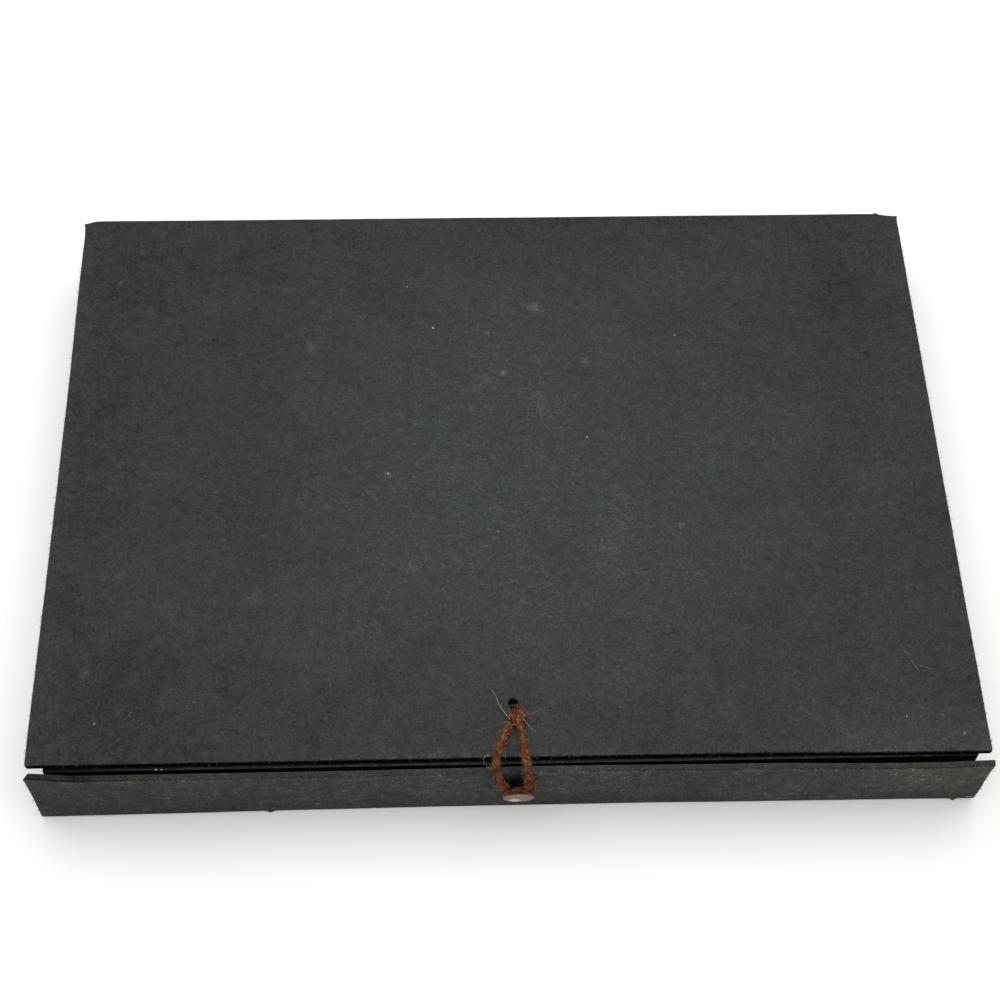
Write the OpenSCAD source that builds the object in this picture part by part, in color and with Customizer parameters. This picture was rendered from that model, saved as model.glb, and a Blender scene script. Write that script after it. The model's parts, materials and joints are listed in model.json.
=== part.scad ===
// Stationery box: a paper-covered case of four boards round a shallow tray,
// closed by a loop of twine on a button. Millimetres, +Z up, the table at z = 0.
// The origin is the middle of the base's underside and the front faces -Y.

/* [Case] */
// Width of the lid, base, spine and flap
case_w = 244; // [200:1:300]
// Depth from the lid's front edge to the back of the spine
case_d = 176; // [140:1:220]
// Height of the closed lid's top above the table
case_h = 25; // [20:0.5:45]
// Thickness of the greyboard in the lid, spine and base
board_t = 2; // [1.5:0.1:3]
// Thickness of the greyboard in the flap
flap_board_t = 1.5; // [1:0.1:3]
// Thickness of the black covering paper
cover_t = 0.15; // [0.1:0.05:0.3]
// Thickness of the lining paper
lining_t = 0.15; // [0.1:0.05:0.3]
// Width of covering paper turned in over a board's edge
turn_in = 15; // [8:0.5:18]
// How far a lining stops short of a board's free edges
lining_margin = 4; // [2:0.5:6]
// Outer radius of the paper creases
crease_r = 0.6; // [0.4:0.05:1]
// Room between a board's edge and the fold beside it
joint_gap = 0.6; // [0.4:0.1:1.2]
// How far the flap's top edge lies below the lid's top
flap_drop = 0.1; // [0:0.1:4]
// How far the flap leans out from upright, in degrees
flap_lean = 4; // [0:0.5:6]

/* [Tray] */
// How far the tray's front stands out past the lid's front edge
lid_setback = 0.7; // [0:0.1:1.5]
// How far the case stands out past the tray at each end
end_square = 3.5; // [2:0.5:8]
// How far the tray lies to the right of the middle
tray_x = 0.7; // [-1.5:0.1:1.5]
// Thickness of the tray's walls
wall_t = 2; // [1.5:0.1:3]
// Thickness of the tray's floor
floor_t = 1.5; // [1:0.1:3]
// Thickness of the paper wrapped over the walls
wrap_t = 0.15; // [0.1:0.05:0.3]
// Room between the tray's rim and the lid's lining
lid_gap = 0.3; // [0.2:0.05:0.8]
// Room between the tray's front and the upright flap's lining
flap_gap = 0.3; // [0.3:0.05:1]

/* [Twine] */
// Diameter of the twine
twine_d = 1.5; // [1:0.1:1.7]
// Diameter of the hole in the lid
hole_d = 3; // [2.6:0.1:4]
// How far the hole lies behind the lid's front edge
hole_setback = 15.1; // [12:0.1:20]
// How far the hole lies to the right of the middle
hole_x = 0.9; // [-0.5:0.1:2]
// Diameter of the doubled twine between the hole and the knot
neck_d = 2; // [1.6:0.1:2.4]
// How far the knot's middle lies in front of the hole
knot_reach = 5.1; // [5:0.1:6.5]
// Diameter of the knot
knot_d = 3.8; // [3.2:0.1:4.5]
// Length of the knot
knot_l = 4.6; // [4:0.1:5.5]
// Diameter of the stopper knot inside the lid
stopper_d = 5; // [4:0.1:7]
// Height of the stopper knot
stopper_h = 3; // [2:0.1:4]
// Room between the twine and the lid under it
twine_gap = 0.2; // [0.1:0.05:0.3]

/* [Button] */
// How far the button lies to the right of the middle
button_x = 1.7; // [1.5:0.1:1.9]
// How far the button's middle lies below the flap's top edge
button_drop = 7.9; // [7.7:0.1:8.1]
// Diameter of the button's head
head_d = 8; // [7:0.1:10]
// Thickness of the button's head
head_t = 1.3; // [1:0.1:2]
// Width of the bevel round the head's rim
head_bevel = 0.3; // [0.1:0.05:0.4]
// How far the head nods down on its post, in degrees
head_tilt = 5; // [0:0.5:6]
// Diameter of the post that the twine goes round
post_d = 4; // [3:0.1:4.2]
// Length of the post between the flap and the head
post_l = 2.3; // [2.2:0.1:2.8]
// Diameter of the pegs at the post's ends
peg_d = 2; // [1.5:0.1:2.6]
// How far the post's front peg goes into the head
head_bite = 0.7; // [0.5:0.1:0.8]
// Diameter of the washer on the flap's inner face
washer_d = 7; // [5:0.1:9]
// Thickness of the washer
washer_t = 0.3; // [0.2:0.05:0.35]
// Room round the pegs and the twine in their holes
bore_gap = 0.05; // [0.02:0.01:0.1]

/* [Hidden] */
$fn = 64;
cut = 1;

// Planes of the case
lid_front_y = -case_d / 2;
back_y = case_d / 2;
fold_set = board_t + cover_t;
lid_board_z = case_h - fold_set;
lid_under_z = lid_board_z - cover_t - lining_t;
lid_back_y = back_y - fold_set;
lid_depth = lid_back_y - lid_front_y;
spine_top_z = lid_board_z - joint_gap;
board_w = case_w - 2 * cover_t;
lid_crease_y = back_y - crease_r;
lid_crease_z = case_h - crease_r;

// Tray
tray_w = case_w - 2 * end_square;
tray_front_y = lid_front_y - lid_setback;
tray_back_y = back_y - fold_set - cover_t;
tray_d = tray_back_y - tray_front_y;
tray_z = fold_set + cover_t;
rim_z = lid_under_z - lid_gap;
wall_w = tray_w - 2 * wrap_t;
wall_d = tray_d - 2 * wrap_t;
wall_top_z = rim_z - wrap_t;
floor_w = wall_w - 2 * wall_t;
floor_d = wall_d - 2 * wall_t;
inside_w = floor_w - 2 * wrap_t;
inside_d = floor_d - 2 * wrap_t;
floor_top_z = tray_z + floor_t;
tray_mid_y = (tray_front_y + tray_back_y) / 2;

// Flap, measured from its crease, which is also its hinge line
flap_set = flap_board_t + cover_t;
flap_face_y = tray_front_y - flap_gap - lining_t - cover_t - flap_set;
flap_crease_y = flap_face_y + crease_r;
base_front_y = flap_face_y + flap_set + joint_gap;
flap_edge_z = flap_set - crease_r;
flap_depth = case_h - flap_drop - flap_set;
button_z = flap_depth - button_drop;
peg_bore_d = peg_d + 2 * bore_gap;
flap_t = flap_set + cover_t + lining_t;

// Twine
hole_y = lid_front_y + hole_setback;
stem_d = hole_d - 2 * bore_gap;
neck_z = case_h + twine_gap + neck_d / 2;
knot_z = case_h + twine_gap + knot_d / 2;
tube_sides = 8;
ring_steps = 2;
// The loop's route, from the lid's front edge at the lid's top: right, back, up
loop_route = [
    [0.1, 8.6, 1.5], [-0.9, 6.8, 1.1], [-1.9, 5, 1], [-2.75, 3, 1], [-3.45, 0.8, 1], [-3.9, -1.2, 1.1],
    [-4, -2.9, 1.3], [-3.7, -4.6, 1.2], [-3.4, -5.8, 0.2], [-3.2, -6.2, -1.4], [-2.8, -6, -3.2],
    [-2.4, -5.6, -5], [-2, -5.3, -6.7], [-1.5, -5.1, -8.3], [-0.6, -5, -10], [0.6, -4.9, -10.9],
    [1.7, -4.9, -11.2], [2.9, -4.9, -10.9], [4.2, -5, -10], [4.8, -5.1, -8.3], [4.8, -5.3, -6.7],
    [4.6, -5.6, -5], [4.4, -6, -3.2], [4.3, -6.2, -1.4], [4.2, -5.8, 0.2], [4.05, -4.6, 1.2],
    [3.85, -2.9, 1.3], [3.65, -1.2, 1.1], [3.35, 0.8, 1], [3.05, 3, 1], [2.8, 5, 1], [2.55, 6.8, 1.1],
    [2.3, 8.6, 1.5]
];
// A direction that no stretch of the loop runs along
loop_side = [0, 1, -1];

// A block centred on x, from one y to another and one z to another
module block(w, y0, y1, z0, z1) {
    translate([-w / 2, y0, z0]) cube([w, y1 - y0, z1 - z0]);
}

// A board with its hinge edge on y = 0, its free edge towards +y and its outer face up.
// depth is the finished depth, with the covering paper round the free edge, and t the board's thickness.
module panel_board(depth, t) {
    block(board_w, 0, depth - cover_t, 0, t);
}

module panel_cover(depth, t) {
    difference() {
        block(case_w, 0, depth, -cover_t, t + cover_t);
        block(board_w, -cut, depth - cover_t, 0, t);
        block(case_w - 2 * turn_in, -cut, depth - turn_in, -cover_t - cut, t);
    }
}

// The lining lies over the turned-in margins and fills the field between them.
module panel_lining(depth) {
    block(case_w - 2 * lining_margin, joint_gap, depth - lining_margin, -cover_t - lining_t, -cover_t);
    block(case_w - 2 * turn_in, joint_gap, depth - turn_in, -cover_t, 0);
}

module lid_place() {
    translate([0, lid_back_y, lid_board_z]) rotate([0, 0, 180]) children();
}

// From the flap's hinge line, as the flap stands when it is closed
module flap_place() {
    translate([0, flap_crease_y, crease_r]) rotate([flap_lean, 0, 0]) children();
}

module flap_panel() {
    translate([0, flap_set - crease_r, flap_edge_z]) rotate([90, 0, 0]) children();
}

// From the button's middle on the flap's outer face, with +z standing out of the face
module button_place() {
    flap_place() flap_panel() translate([button_x, button_z, flap_set]) children();
}

module lid_hole() {
    translate([hole_x, hole_y, lid_under_z - cut]) cylinder(d = hole_d, h = case_h - lid_under_z + 2 * cut);
}

module peg_hole() {
    button_place() translate([0, 0, -flap_t - cut]) cylinder(d = peg_bore_d, h = flap_t + 2 * cut);
}

// From the middle of the head's back, which nods down with the head
module head_place() {
    button_place() translate([0, 0, post_l]) rotate([head_tilt, 0, 0]) children();
}

module base_board() {
    color("rosybrown") block(board_w, base_front_y, lid_back_y, cover_t, fold_set);
}

module spine_board() {
    color("rosybrown") block(board_w, lid_back_y, back_y - cover_t, fold_set, spine_top_z);
}

module lid_board() {
    color("rosybrown") difference() {
        lid_place() panel_board(lid_depth, board_t);
        lid_hole();
    }
}

module flap_board() {
    color("rosybrown") difference() {
        flap_place() flap_panel() panel_board(flap_depth, flap_board_t);
        peg_hole();
    }
}

module base_cover() {
    color("#3e3f40") difference() {
        block(case_w, base_front_y, lid_back_y, 0, tray_z);
        block(board_w, base_front_y - cut, lid_back_y + cut, cover_t, fold_set);
        block(case_w - 2 * turn_in, base_front_y - cut, lid_back_y + cut, cover_t, tray_z + cut);
    }
}

// The spine's paper and the rounded fold that joins it to the base's paper
module spine_cover() {
    color("#3e3f40") {
        difference() {
            block(case_w, tray_back_y, back_y, fold_set, spine_top_z);
            block(board_w, lid_back_y, back_y - cover_t, fold_set - cut, spine_top_z + cut);
            block(case_w - 2 * turn_in, tray_back_y - cut, back_y - cover_t, fold_set - cut, spine_top_z + cut);
        }
        profile(case_w) intersection() {
            translate([lid_back_y, fold_set]) ring(fold_set);
            translate([lid_back_y, 0]) square(fold_set);
        }
    }
}

module lid_cover() {
    color("#3e3f40") difference() {
        lid_place() panel_cover(lid_depth, board_t);
        lid_hole();
    }
}

module flap_cover() {
    color("#3e3f40") difference() {
        flap_place() flap_panel() panel_cover(flap_depth, flap_board_t);
        peg_hole();
    }
}

// Paper of thickness cover_t bent to an outer radius
module ring(r) {
    difference() {
        circle(r = r);
        circle(r = r - cover_t);
    }
}

// A flat shape drawn in y and z, drawn out along x
module profile(w) {
    translate([-w / 2, 0, 0]) rotate([90, 0, 90]) linear_extrude(height = w) children();
}

// The strip runs up from the spine, round the crease and forward to the lid.
module lid_hinge_paper() {
    color("#3e3f40") profile(case_w) {
        translate([back_y - cover_t, spine_top_z]) square([cover_t, lid_crease_z - spine_top_z]);
        translate([lid_back_y, case_h - cover_t]) square([lid_crease_y - lid_back_y, cover_t]);
        translate([lid_crease_y, lid_crease_z]) intersection() {
            ring(crease_r);
            square(crease_r);
        }
    }
}

// The strip runs forward from the base, round the crease and up to the leaning flap.
module flap_hinge_paper() {
    color("#3e3f40") profile(case_w) {
        translate([flap_crease_y, 0]) square([base_front_y - flap_crease_y, cover_t]);
        translate([flap_crease_y, crease_r]) {
            rotate(flap_lean) translate([-crease_r, 0]) square([cover_t, flap_edge_z]);
            intersection() {
                ring(crease_r);
                translate([-crease_r, -crease_r]) square(crease_r);
                rotate(flap_lean) translate([-2 * crease_r, -2 * crease_r]) square(2 * [2 * crease_r, crease_r]);
            }
        }
    }
}

module lid_lining() {
    color("#2c2c2e") difference() {
        lid_place() panel_lining(lid_depth);
        lid_hole();
    }
}

module flap_lining() {
    color("#2c2c2e") difference() {
        flap_place() flap_panel() panel_lining(flap_depth);
        peg_hole();
    }
}

module tray_floor() {
    color("tan") translate([tray_x, tray_mid_y, 0])
        block(floor_w, -floor_d / 2, floor_d / 2, tray_z, floor_top_z);
}

// The long walls run the tray's whole width and the end walls stand between them.
module tray_long_wall(side) {
    outer_y = tray_mid_y + side * wall_d / 2;
    inner_y = outer_y - side * wall_t;
    color("tan") translate([tray_x, 0, 0])
        block(wall_w, min(outer_y, inner_y), max(outer_y, inner_y), tray_z, wall_top_z);
}

module tray_end_wall(side) {
    color("tan") translate([tray_x + side * (wall_w - wall_t) / 2, tray_mid_y, 0])
        block(wall_t, -floor_d / 2, floor_d / 2, tray_z, wall_top_z);
}

module tray_wrap() {
    color("#343436") translate([tray_x, tray_mid_y, 0]) difference() {
        block(tray_w, -tray_d / 2, tray_d / 2, tray_z, rim_z);
        difference() {
            block(wall_w, -wall_d / 2, wall_d / 2, tray_z - cut, wall_top_z);
            block(floor_w, -floor_d / 2, floor_d / 2, floor_top_z, rim_z);
        }
        block(inside_w, -inside_d / 2, inside_d / 2, floor_top_z - cut, rim_z + cut);
    }
}

module tray_lining() {
    color("#2c2c2e") translate([tray_x, tray_mid_y, 0])
        block(inside_w, -inside_d / 2, inside_d / 2, floor_top_z, floor_top_z + lining_t);
}

function unit(v) = v / norm(v);

// A smooth curve through the points: the place at share t between point i and the next
function curve_at(pts, i, t) =
    let (
        last = len(pts) - 1,
        a = pts[max(i - 1, 0)],
        b = pts[i],
        c = pts[min(i + 1, last)],
        d = pts[min(i + 2, last)]
    )
    0.5 * (2 * b + (c - a) * t + (2 * a - 5 * b + 4 * c - d) * t * t + (3 * b - a - 3 * c + d) * t * t * t);

function curve(pts, steps) = [
    for (i = [0 : len(pts) - 2]) for (s = [0 : steps - 1]) curve_at(pts, i, s / steps),
    pts[len(pts) - 1]
];

// The points round one end of a tube, or round it anywhere between
function ring_points(line, i, d, sides, side) =
    let (
        along = unit(line[min(i + 1, len(line) - 1)] - line[max(i - 1, 0)]),
        across = unit(cross(along, side)),
        third = cross(along, across)
    )
    [for (k = [0 : sides - 1]) line[i] + d / 2 * (cos(360 * k / sides) * across + sin(360 * k / sides) * third)];

module tube(line, d, sides, side) {
    rings = len(line);
    points = [for (i = [0 : rings - 1]) each ring_points(line, i, d, sides, side)];
    walls = [
        for (i = [0 : rings - 2]) for (k = [0 : sides - 1])
            let (n = (k + 1) % sides, a = i * sides, b = a + sides)
            each [[a + k, b + k, b + n], [a + k, b + n, a + n]]
    ];
    ends = [
        [for (k = [0 : sides - 1]) k],
        [for (k = [sides - 1 : -1 : 0]) (rings - 1) * sides + k]
    ];
    polyhedron(points, concat(walls, ends));
}

module twine_loop() {
    color("#8c5028") translate([0, lid_front_y, case_h])
        tube(curve(loop_route, ring_steps), twine_d, tube_sides, loop_side);
}

// A round form of the given size whose axis is z, cut off flat at both ends
module knot_form(d, h, end_share) {
    steps = 6;
    rotate_extrude() polygon(concat(
        [[0, -h / 2]],
        [for (i = [-steps : steps]) [d / 2 * (1 - (1 - end_share) * pow(i / steps, 2)), h / 2 * i / steps]],
        [[0, h / 2]]
    ));
}

// The neck's rounded end lies on the line that the loop swings about.
module twine_knot() {
    color("#7d4523") translate([hole_x, hole_y, 0]) {
        translate([0, 0, neck_z]) {
            sphere(d = neck_d);
            rotate([90, 0, 0]) cylinder(d = neck_d, h = knot_reach - knot_l / 2);
        }
        translate([0, -knot_reach, knot_z]) rotate([90, 0, 0]) knot_form(knot_d, knot_l, 0.55);
    }
}

module twine_stem() {
    color("#7d4523") translate([hole_x, hole_y, lid_under_z]) cylinder(d = stem_d, h = case_h - lid_under_z);
}

module twine_stopper() {
    color("#7d4523") translate([hole_x, hole_y, lid_under_z - stopper_h / 2])
        knot_form(stopper_d, stopper_h, 0.7);
}

module button_head() {
    color("#a8968f") head_place() difference() {
        rotate_extrude() polygon([
            [0, 0], [head_d / 2 - head_bevel, 0], [head_d / 2, head_bevel],
            [head_d / 2, head_t - head_bevel], [head_d / 2 - head_bevel, head_t], [0, head_t]
        ]);
        translate([0, 0, -cut]) cylinder(d = peg_bore_d, h = cut + head_bite);
    }
}

// The post's front end is cut to the head's slant, and a peg goes on into the head.
module button_post() {
    color("#3a332e") {
        difference() {
            button_place() cylinder(d = post_d, h = post_l + post_d);
            head_place() translate([-post_d, -post_d, 0]) cube(2 * post_d);
        }
        button_place() translate([0, 0, -flap_t - washer_t]) cylinder(d = peg_d, h = flap_t + washer_t);
        head_place() cylinder(d = peg_d, h = head_bite);
    }
}

module button_washer() {
    color("#8f8680") button_place() translate([0, 0, -flap_t - washer_t]) difference() {
        cylinder(d = washer_d, h = washer_t);
        translate([0, 0, -cut]) cylinder(d = peg_bore_d, h = washer_t + 2 * cut);
    }
}

base_board();
spine_board();
lid_board();
flap_board();
base_cover();
spine_cover();
lid_cover();
flap_cover();
lid_hinge_paper();
flap_hinge_paper();
lid_lining();
flap_lining();
tray_floor();
tray_long_wall(-1);  // tray_front_wall
tray_long_wall(1);  // tray_back_wall
tray_end_wall(-1);  // tray_left_wall
tray_end_wall(1);  // tray_right_wall
tray_wrap();
tray_lining();
twine_loop();
twine_knot();
twine_stem();
twine_stopper();
button_head();
button_post();
button_washer();
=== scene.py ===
# %% [markdown]
# # A black paper box with a twine loop
#
# The object is a flat box for letters. A lid, a spine, a base and a front flap are cut from greyboard
# and covered with one sheet of black handmade paper, and a narrower tray stands inside them. A loop of
# hairy twine comes out of a hole in the lid and hooks round a small wooden button on the flap.
#
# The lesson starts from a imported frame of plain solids. They already have the right sizes and places,
# so each step below only gives one of them the surface that the real piece has.

# %% Load the frame
import json
import math

import bpy
import bmesh
import numpy as np
from mathutils import Matrix, Vector, noise


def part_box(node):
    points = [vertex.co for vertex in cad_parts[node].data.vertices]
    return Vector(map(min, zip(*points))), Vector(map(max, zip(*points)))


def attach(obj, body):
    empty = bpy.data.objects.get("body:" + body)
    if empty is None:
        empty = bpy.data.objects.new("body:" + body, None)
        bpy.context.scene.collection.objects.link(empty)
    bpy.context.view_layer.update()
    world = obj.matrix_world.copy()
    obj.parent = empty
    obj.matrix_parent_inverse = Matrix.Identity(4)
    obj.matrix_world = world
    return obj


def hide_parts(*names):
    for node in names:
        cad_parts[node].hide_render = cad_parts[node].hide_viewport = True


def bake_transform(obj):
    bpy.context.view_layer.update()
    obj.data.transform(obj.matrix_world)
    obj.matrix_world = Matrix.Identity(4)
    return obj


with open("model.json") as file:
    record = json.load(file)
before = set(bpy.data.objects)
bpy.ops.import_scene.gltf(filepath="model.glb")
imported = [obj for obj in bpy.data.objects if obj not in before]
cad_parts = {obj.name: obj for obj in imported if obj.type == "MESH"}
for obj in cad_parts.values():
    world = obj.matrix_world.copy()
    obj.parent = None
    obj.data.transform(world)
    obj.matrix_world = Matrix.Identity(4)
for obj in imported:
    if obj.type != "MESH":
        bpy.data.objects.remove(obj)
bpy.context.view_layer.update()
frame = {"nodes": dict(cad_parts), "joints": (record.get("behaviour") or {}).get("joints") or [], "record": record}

MM = 0.001
scene = bpy.context.scene
joints = {row["name"]: row for row in frame["joints"]}
print("nodes in the frame:", len(frame["nodes"]), "and joints:", len(joints))

# %% [markdown]
# ## The camera
#
# The photograph was taken by hand from above the front edge, a little to the left of the middle. A
# camera can be aimed with a Track To constraint, but a hand-held one also rolls, so its three axes
# are worked out here from yaw, pitch and roll and written into its matrix.

# %% Camera
CAMERA_PLACE = Vector((-15.7, -276.75, 456.5)) * MM
CAMERA_YAW = math.radians(3.22)
CAMERA_PITCH = math.radians(58.44)
CAMERA_ROLL = math.radians(1.93)
CAMERA_LENS = 66.77


def camera_axes(yaw, pitch, roll):
    """The camera's right, up and back directions as the columns of a matrix."""
    forward = Vector((
        math.sin(yaw) * math.cos(pitch),
        math.cos(yaw) * math.cos(pitch),
        -math.sin(pitch),
    ))
    level = Vector((math.cos(yaw), -math.sin(yaw), 0))
    rise = level.cross(forward)
    right = level * math.cos(roll) + rise * math.sin(roll)
    up = rise * math.cos(roll) - level * math.sin(roll)
    return Matrix((right, up, -forward)).transposed()


camera = bpy.data.objects.new("camera", bpy.data.cameras.new("camera"))
scene.collection.objects.link(camera)
camera.data.lens = CAMERA_LENS
camera.data.sensor_width = 36
camera.data.clip_start = 0.01
camera.matrix_world = (
    Matrix.Translation(CAMERA_PLACE)
    @ camera_axes(CAMERA_YAW, CAMERA_PITCH, CAMERA_ROLL).to_4x4()
)
scene.camera = camera
print("camera looks down by degrees:", round(math.degrees(CAMERA_PITCH), 1))

# %% [markdown]
# ## Small tools
#
# Node trees get long when every node takes five lines, so one function adds a node, sets its
# properties, joins its inputs and gives back its outputs for the next one. Another turns a hex
# colour, as a painter would pick it on a screen, into the linear numbers that Blender mixes. The rest
# make a mesh object from points and faces, join rings of points, turn faces outward, and run an
# object's modifiers to keep a plain mesh.

# %% Helpers for nodes and colours
# The Mix node's colour sockets by their place: the inputs A and B, and the output
MIX_A, MIX_B, MIX_COLOUR = 6, 7, 2


def add(tree, kind, links=None, stops=(), **settings):
    """Adds one node, gives its inputs values or joins them to outputs, and returns its outputs."""
    node = tree.nodes.new(kind)
    for name, value in settings.items():
        setattr(node, name, value)
    for name, value in (links or {}).items():
        if isinstance(value, bpy.types.NodeSocket):
            tree.links.new(value, node.inputs[name])
        else:
            node.inputs[name].default_value = value
    for number, (place, colour) in enumerate(stops):
        marks = node.color_ramp.elements
        mark = marks[number] if number < len(marks) else marks.new(place)
        mark.position = place
        mark.color = linear(colour)
    return node.outputs


def linear(hex_colour):
    """An sRGB hex colour as linear red, green, blue and alpha."""
    parts = [int(hex_colour[i:i + 2], 16) / 255 for i in (0, 2, 4)]
    steps = [c / 12.92 if c <= 0.04045 else ((c + 0.055) / 1.055) ** 2.4 for c in parts]
    return (*steps, 1.0)


def per_mm(size):
    """The scale of a texture whose features are that many millimetres wide."""
    return 1 / (size * MM)


# %% Helpers for meshes
SOFT_ANGLE = math.radians(38)


def new_object(name, points, faces, attributes=None):
    """A mesh object at the origin with its own point attributes."""
    mesh = bpy.data.meshes.new(name)
    mesh.from_pydata([tuple(p) for p in points], [], faces)
    for label, values in (attributes or {}).items():
        layer = mesh.attributes.new(label, "FLOAT", "POINT")
        layer.data.foreach_set("value", np.asarray(values, np.float32))
    piece = bpy.data.objects.new(name, mesh)
    scene.collection.objects.link(piece)
    return piece


def ring_faces(rings, n, capped=True):
    """Faces that join closed rings of n points one after the other, and close both ends."""
    faces = [
        (k * n + i, k * n + (i + 1) % n, (k + 1) * n + (i + 1) % n, (k + 1) * n + i)
        for k in range(rings - 1) for i in range(n)
    ]
    if capped:
        faces += [tuple(range(n - 1, -1, -1)), tuple(range((rings - 1) * n, rings * n))]
    return faces


def face_outward(piece):
    """Turns every face of a closed mesh outward."""
    work = bmesh.new()
    work.from_mesh(piece.data)
    bmesh.ops.recalc_face_normals(work, faces=work.faces)
    work.to_mesh(piece.data)
    work.free()


def settle(piece, material=None, sharp=True):
    """Runs the modifiers, keeps the result as the piece's own mesh and shades it."""
    depsgraph = bpy.context.evaluated_depsgraph_get()
    made = bpy.data.meshes.new_from_object(piece.evaluated_get(depsgraph))
    piece.modifiers.clear()
    piece.data = made
    made.shade_smooth()
    if sharp:
        made.set_sharp_from_angle(angle=SOFT_ANGLE)
    if material:
        made.materials.clear()
        made.materials.append(material)
    return piece


def count(piece):
    """Triangles in a piece, for the notes that the cells print."""
    piece.data.calc_loop_triangles()
    return len(piece.data.loop_triangles)


# %% [markdown]
# ## The twine's finish
#
# The twine is coarse jute or coir, dyed a rusty brown. Each strand took the dye a little differently,
# so every strand carries its own tone in an attribute, and noise along it adds darker and lighter
# stretches. The same tone also carries painted shade on the flap, in the neck and in the hole, and a
# painted highlight on the knot. Plant fibre is matt, with a faint silky sheen on the strands that lie
# across the light.

# %% Twine material
def new_material(name, **sockets):
    """A material with a Principled shader; sockets are the numbers that are the same all over."""
    material = bpy.data.materials.new(name)
    material.use_nodes = True
    shader = material.node_tree.nodes["Principled BSDF"]
    for label, value in sockets.items():
        shader.inputs[label.replace("_", " ")].default_value = value
    return material, material.node_tree, shader


def total(tree, first, *parts):
    """The sum of a number and several outputs, each times its weight."""
    for output, weight in parts:
        first = add(
            tree, "ShaderNodeMath", {0: output, 1: weight, 2: first}, operation="MULTIPLY_ADD"
        )[0]
    return first


def coat(tree, shader, colour, height, strength, depth):
    """Joins a material's colour to its shader, and its relief as a bump of the given depth."""
    tree.links.new(colour, shader.inputs["Base Color"])
    bump = add(tree, "ShaderNodeBump", {"Height": height, "Strength": strength, "Distance": depth})
    tree.links.new(bump["Normal"], shader.inputs["Normal"])


def twine_material(name, dark, middle, light):
    """Dyed plant fibre: matt strands, each in its own tone of rust."""
    material, tree, shader = new_material(
        name, Roughness=0.72, IOR=1.5, Specular_IOR_Level=0.3, Sheen_Weight=0.03
    )
    place = add(tree, "ShaderNodeTexCoord")["Object"]
    tone = add(tree, "ShaderNodeAttribute", attribute_name="tone")["Fac"]
    blotch = add(tree, "ShaderNodeTexNoise", {"Vector": place, "Scale": per_mm(1.6), "Detail": 2})
    fine = add(tree, "ShaderNodeTexNoise", {"Vector": place, "Scale": per_mm(0.3), "Detail": 1})
    factor = total(tree, -0.55, (tone, 0.75), (blotch["Fac"], 0.9), (fine["Fac"], 0.5))
    colour = add(
        tree, "ShaderNodeValToRGB", {"Fac": factor},
        stops=[(0.0, dark), (1.0, light), (0.5, middle)],
    )
    coat(tree, shader, colour["Color"], fine["Fac"], 0.4, 0.05 * MM)
    return material


rusty_twine = twine_material("dyed_jute_twine", "2A1006", "763C12", "C08A56")
loose_fibre = twine_material("loose_jute_fibre", "341004", "803C12", "CA986A")
pale_fibre = twine_material("bleached_plant_hair", "8E8880", "B8B2AA", "DEDAD4")
grey_fibre = twine_material("grey_dust_hair", "6E6C68", "8A8884", "B0AEAA")
print("twine materials made")

# %% [markdown]
# ## The twine loop
#
# The loop is one length of twine: it leaves the knot, runs over the lid's front edge, goes round the
# button's post and comes back. A curve with a round bevel would give a plain tube. Real twine is
# three plies wound round each other, and each ply is a handful of coarse strands, so the strands are
# swept one by one along the route. On the flap the twine is old and has come loose, so the bundle
# opens there. Strands that would lie inside the board are pushed out to its face.

# %% Route of the loop
TWINE_D = 1.5 * MM
FLAP_LEAN = math.radians(4)

lid_low, lid_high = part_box("lid_cover")
LID_FRONT = lid_low.y
LID_TOP = lid_high.z
CREASE_CENTRE = Vector(joints["flap_hinge"]["pos_m"])
FLAP_OUT = Vector((0, -math.cos(FLAP_LEAN), -math.sin(FLAP_LEAN)))
FLAP_UP = Vector((0, -math.sin(FLAP_LEAN), math.cos(FLAP_LEAN)))
CREASE_R = CREASE_CENTRE.z

# Millimetres right of the middle, behind the lid's front edge and above the lid's top
LOOP_ROUTE = [
    (0.1, 8.6, 1.5), (-0.9, 6.8, 1.1), (-1.9, 5, 1), (-2.75, 3, 1), (-3.45, 0.8, 1), (-3.9, -1.2, 1.1),
    (-4, -2.9, 1.3), (-3.7, -4.6, 1.2), (-3.4, -5.8, 0.2), (-3.2, -6.2, -1.4), (-2.8, -6, -3.2),
    (-2.4, -5.6, -5), (-2, -5.3, -6.7), (-1.5, -5.1, -8.3), (-0.6, -5, -10), (0.6, -4.9, -10.9),
    (1.7, -4.9, -11.2), (2.9, -4.9, -10.9), (4.2, -5, -10), (4.8, -5.1, -8.3), (4.8, -5.3, -6.7),
    (4.6, -5.6, -5), (4.4, -6, -3.2), (4.3, -6.2, -1.4), (4.2, -5.8, 0.2), (4.05, -4.6, 1.2),
    (3.85, -2.9, 1.3), (3.65, -1.2, 1.1), (3.35, 0.8, 1), (3.05, 3, 1), (2.8, 5, 1), (2.55, 6.8, 1.1),
    (2.3, 8.6, 1.5),
]


def smooth_line(points, step):
    """Points about a step apart on a curve that runs through all the given points."""
    p = np.array(points, float)
    p = np.vstack([2 * p[0] - p[1], p, 2 * p[-1] - p[-2]])
    line = []
    for a, b, c, d in zip(p, p[1:], p[2:], p[3:]):
        parts = max(2, round(np.linalg.norm(c - b) / step))
        for t in np.arange(parts) / parts:
            line.append(0.5 * (
                2 * b + (c - a) * t + (2 * a - 5 * b + 4 * c - d) * t ** 2
                + (3 * b - a - 3 * c + d) * t ** 3
            ))
    line.append(p[-2])
    return np.array(line)


loop_line = smooth_line(
    [(x * MM, LID_FRONT + y * MM, LID_TOP + z * MM) for x, y, z in LOOP_ROUTE], 0.4 * MM
)
loop_length = float(np.linalg.norm(np.diff(loop_line, axis=0), axis=1).sum())
print("loop is millimetres long:", round(loop_length / MM, 1))


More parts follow.
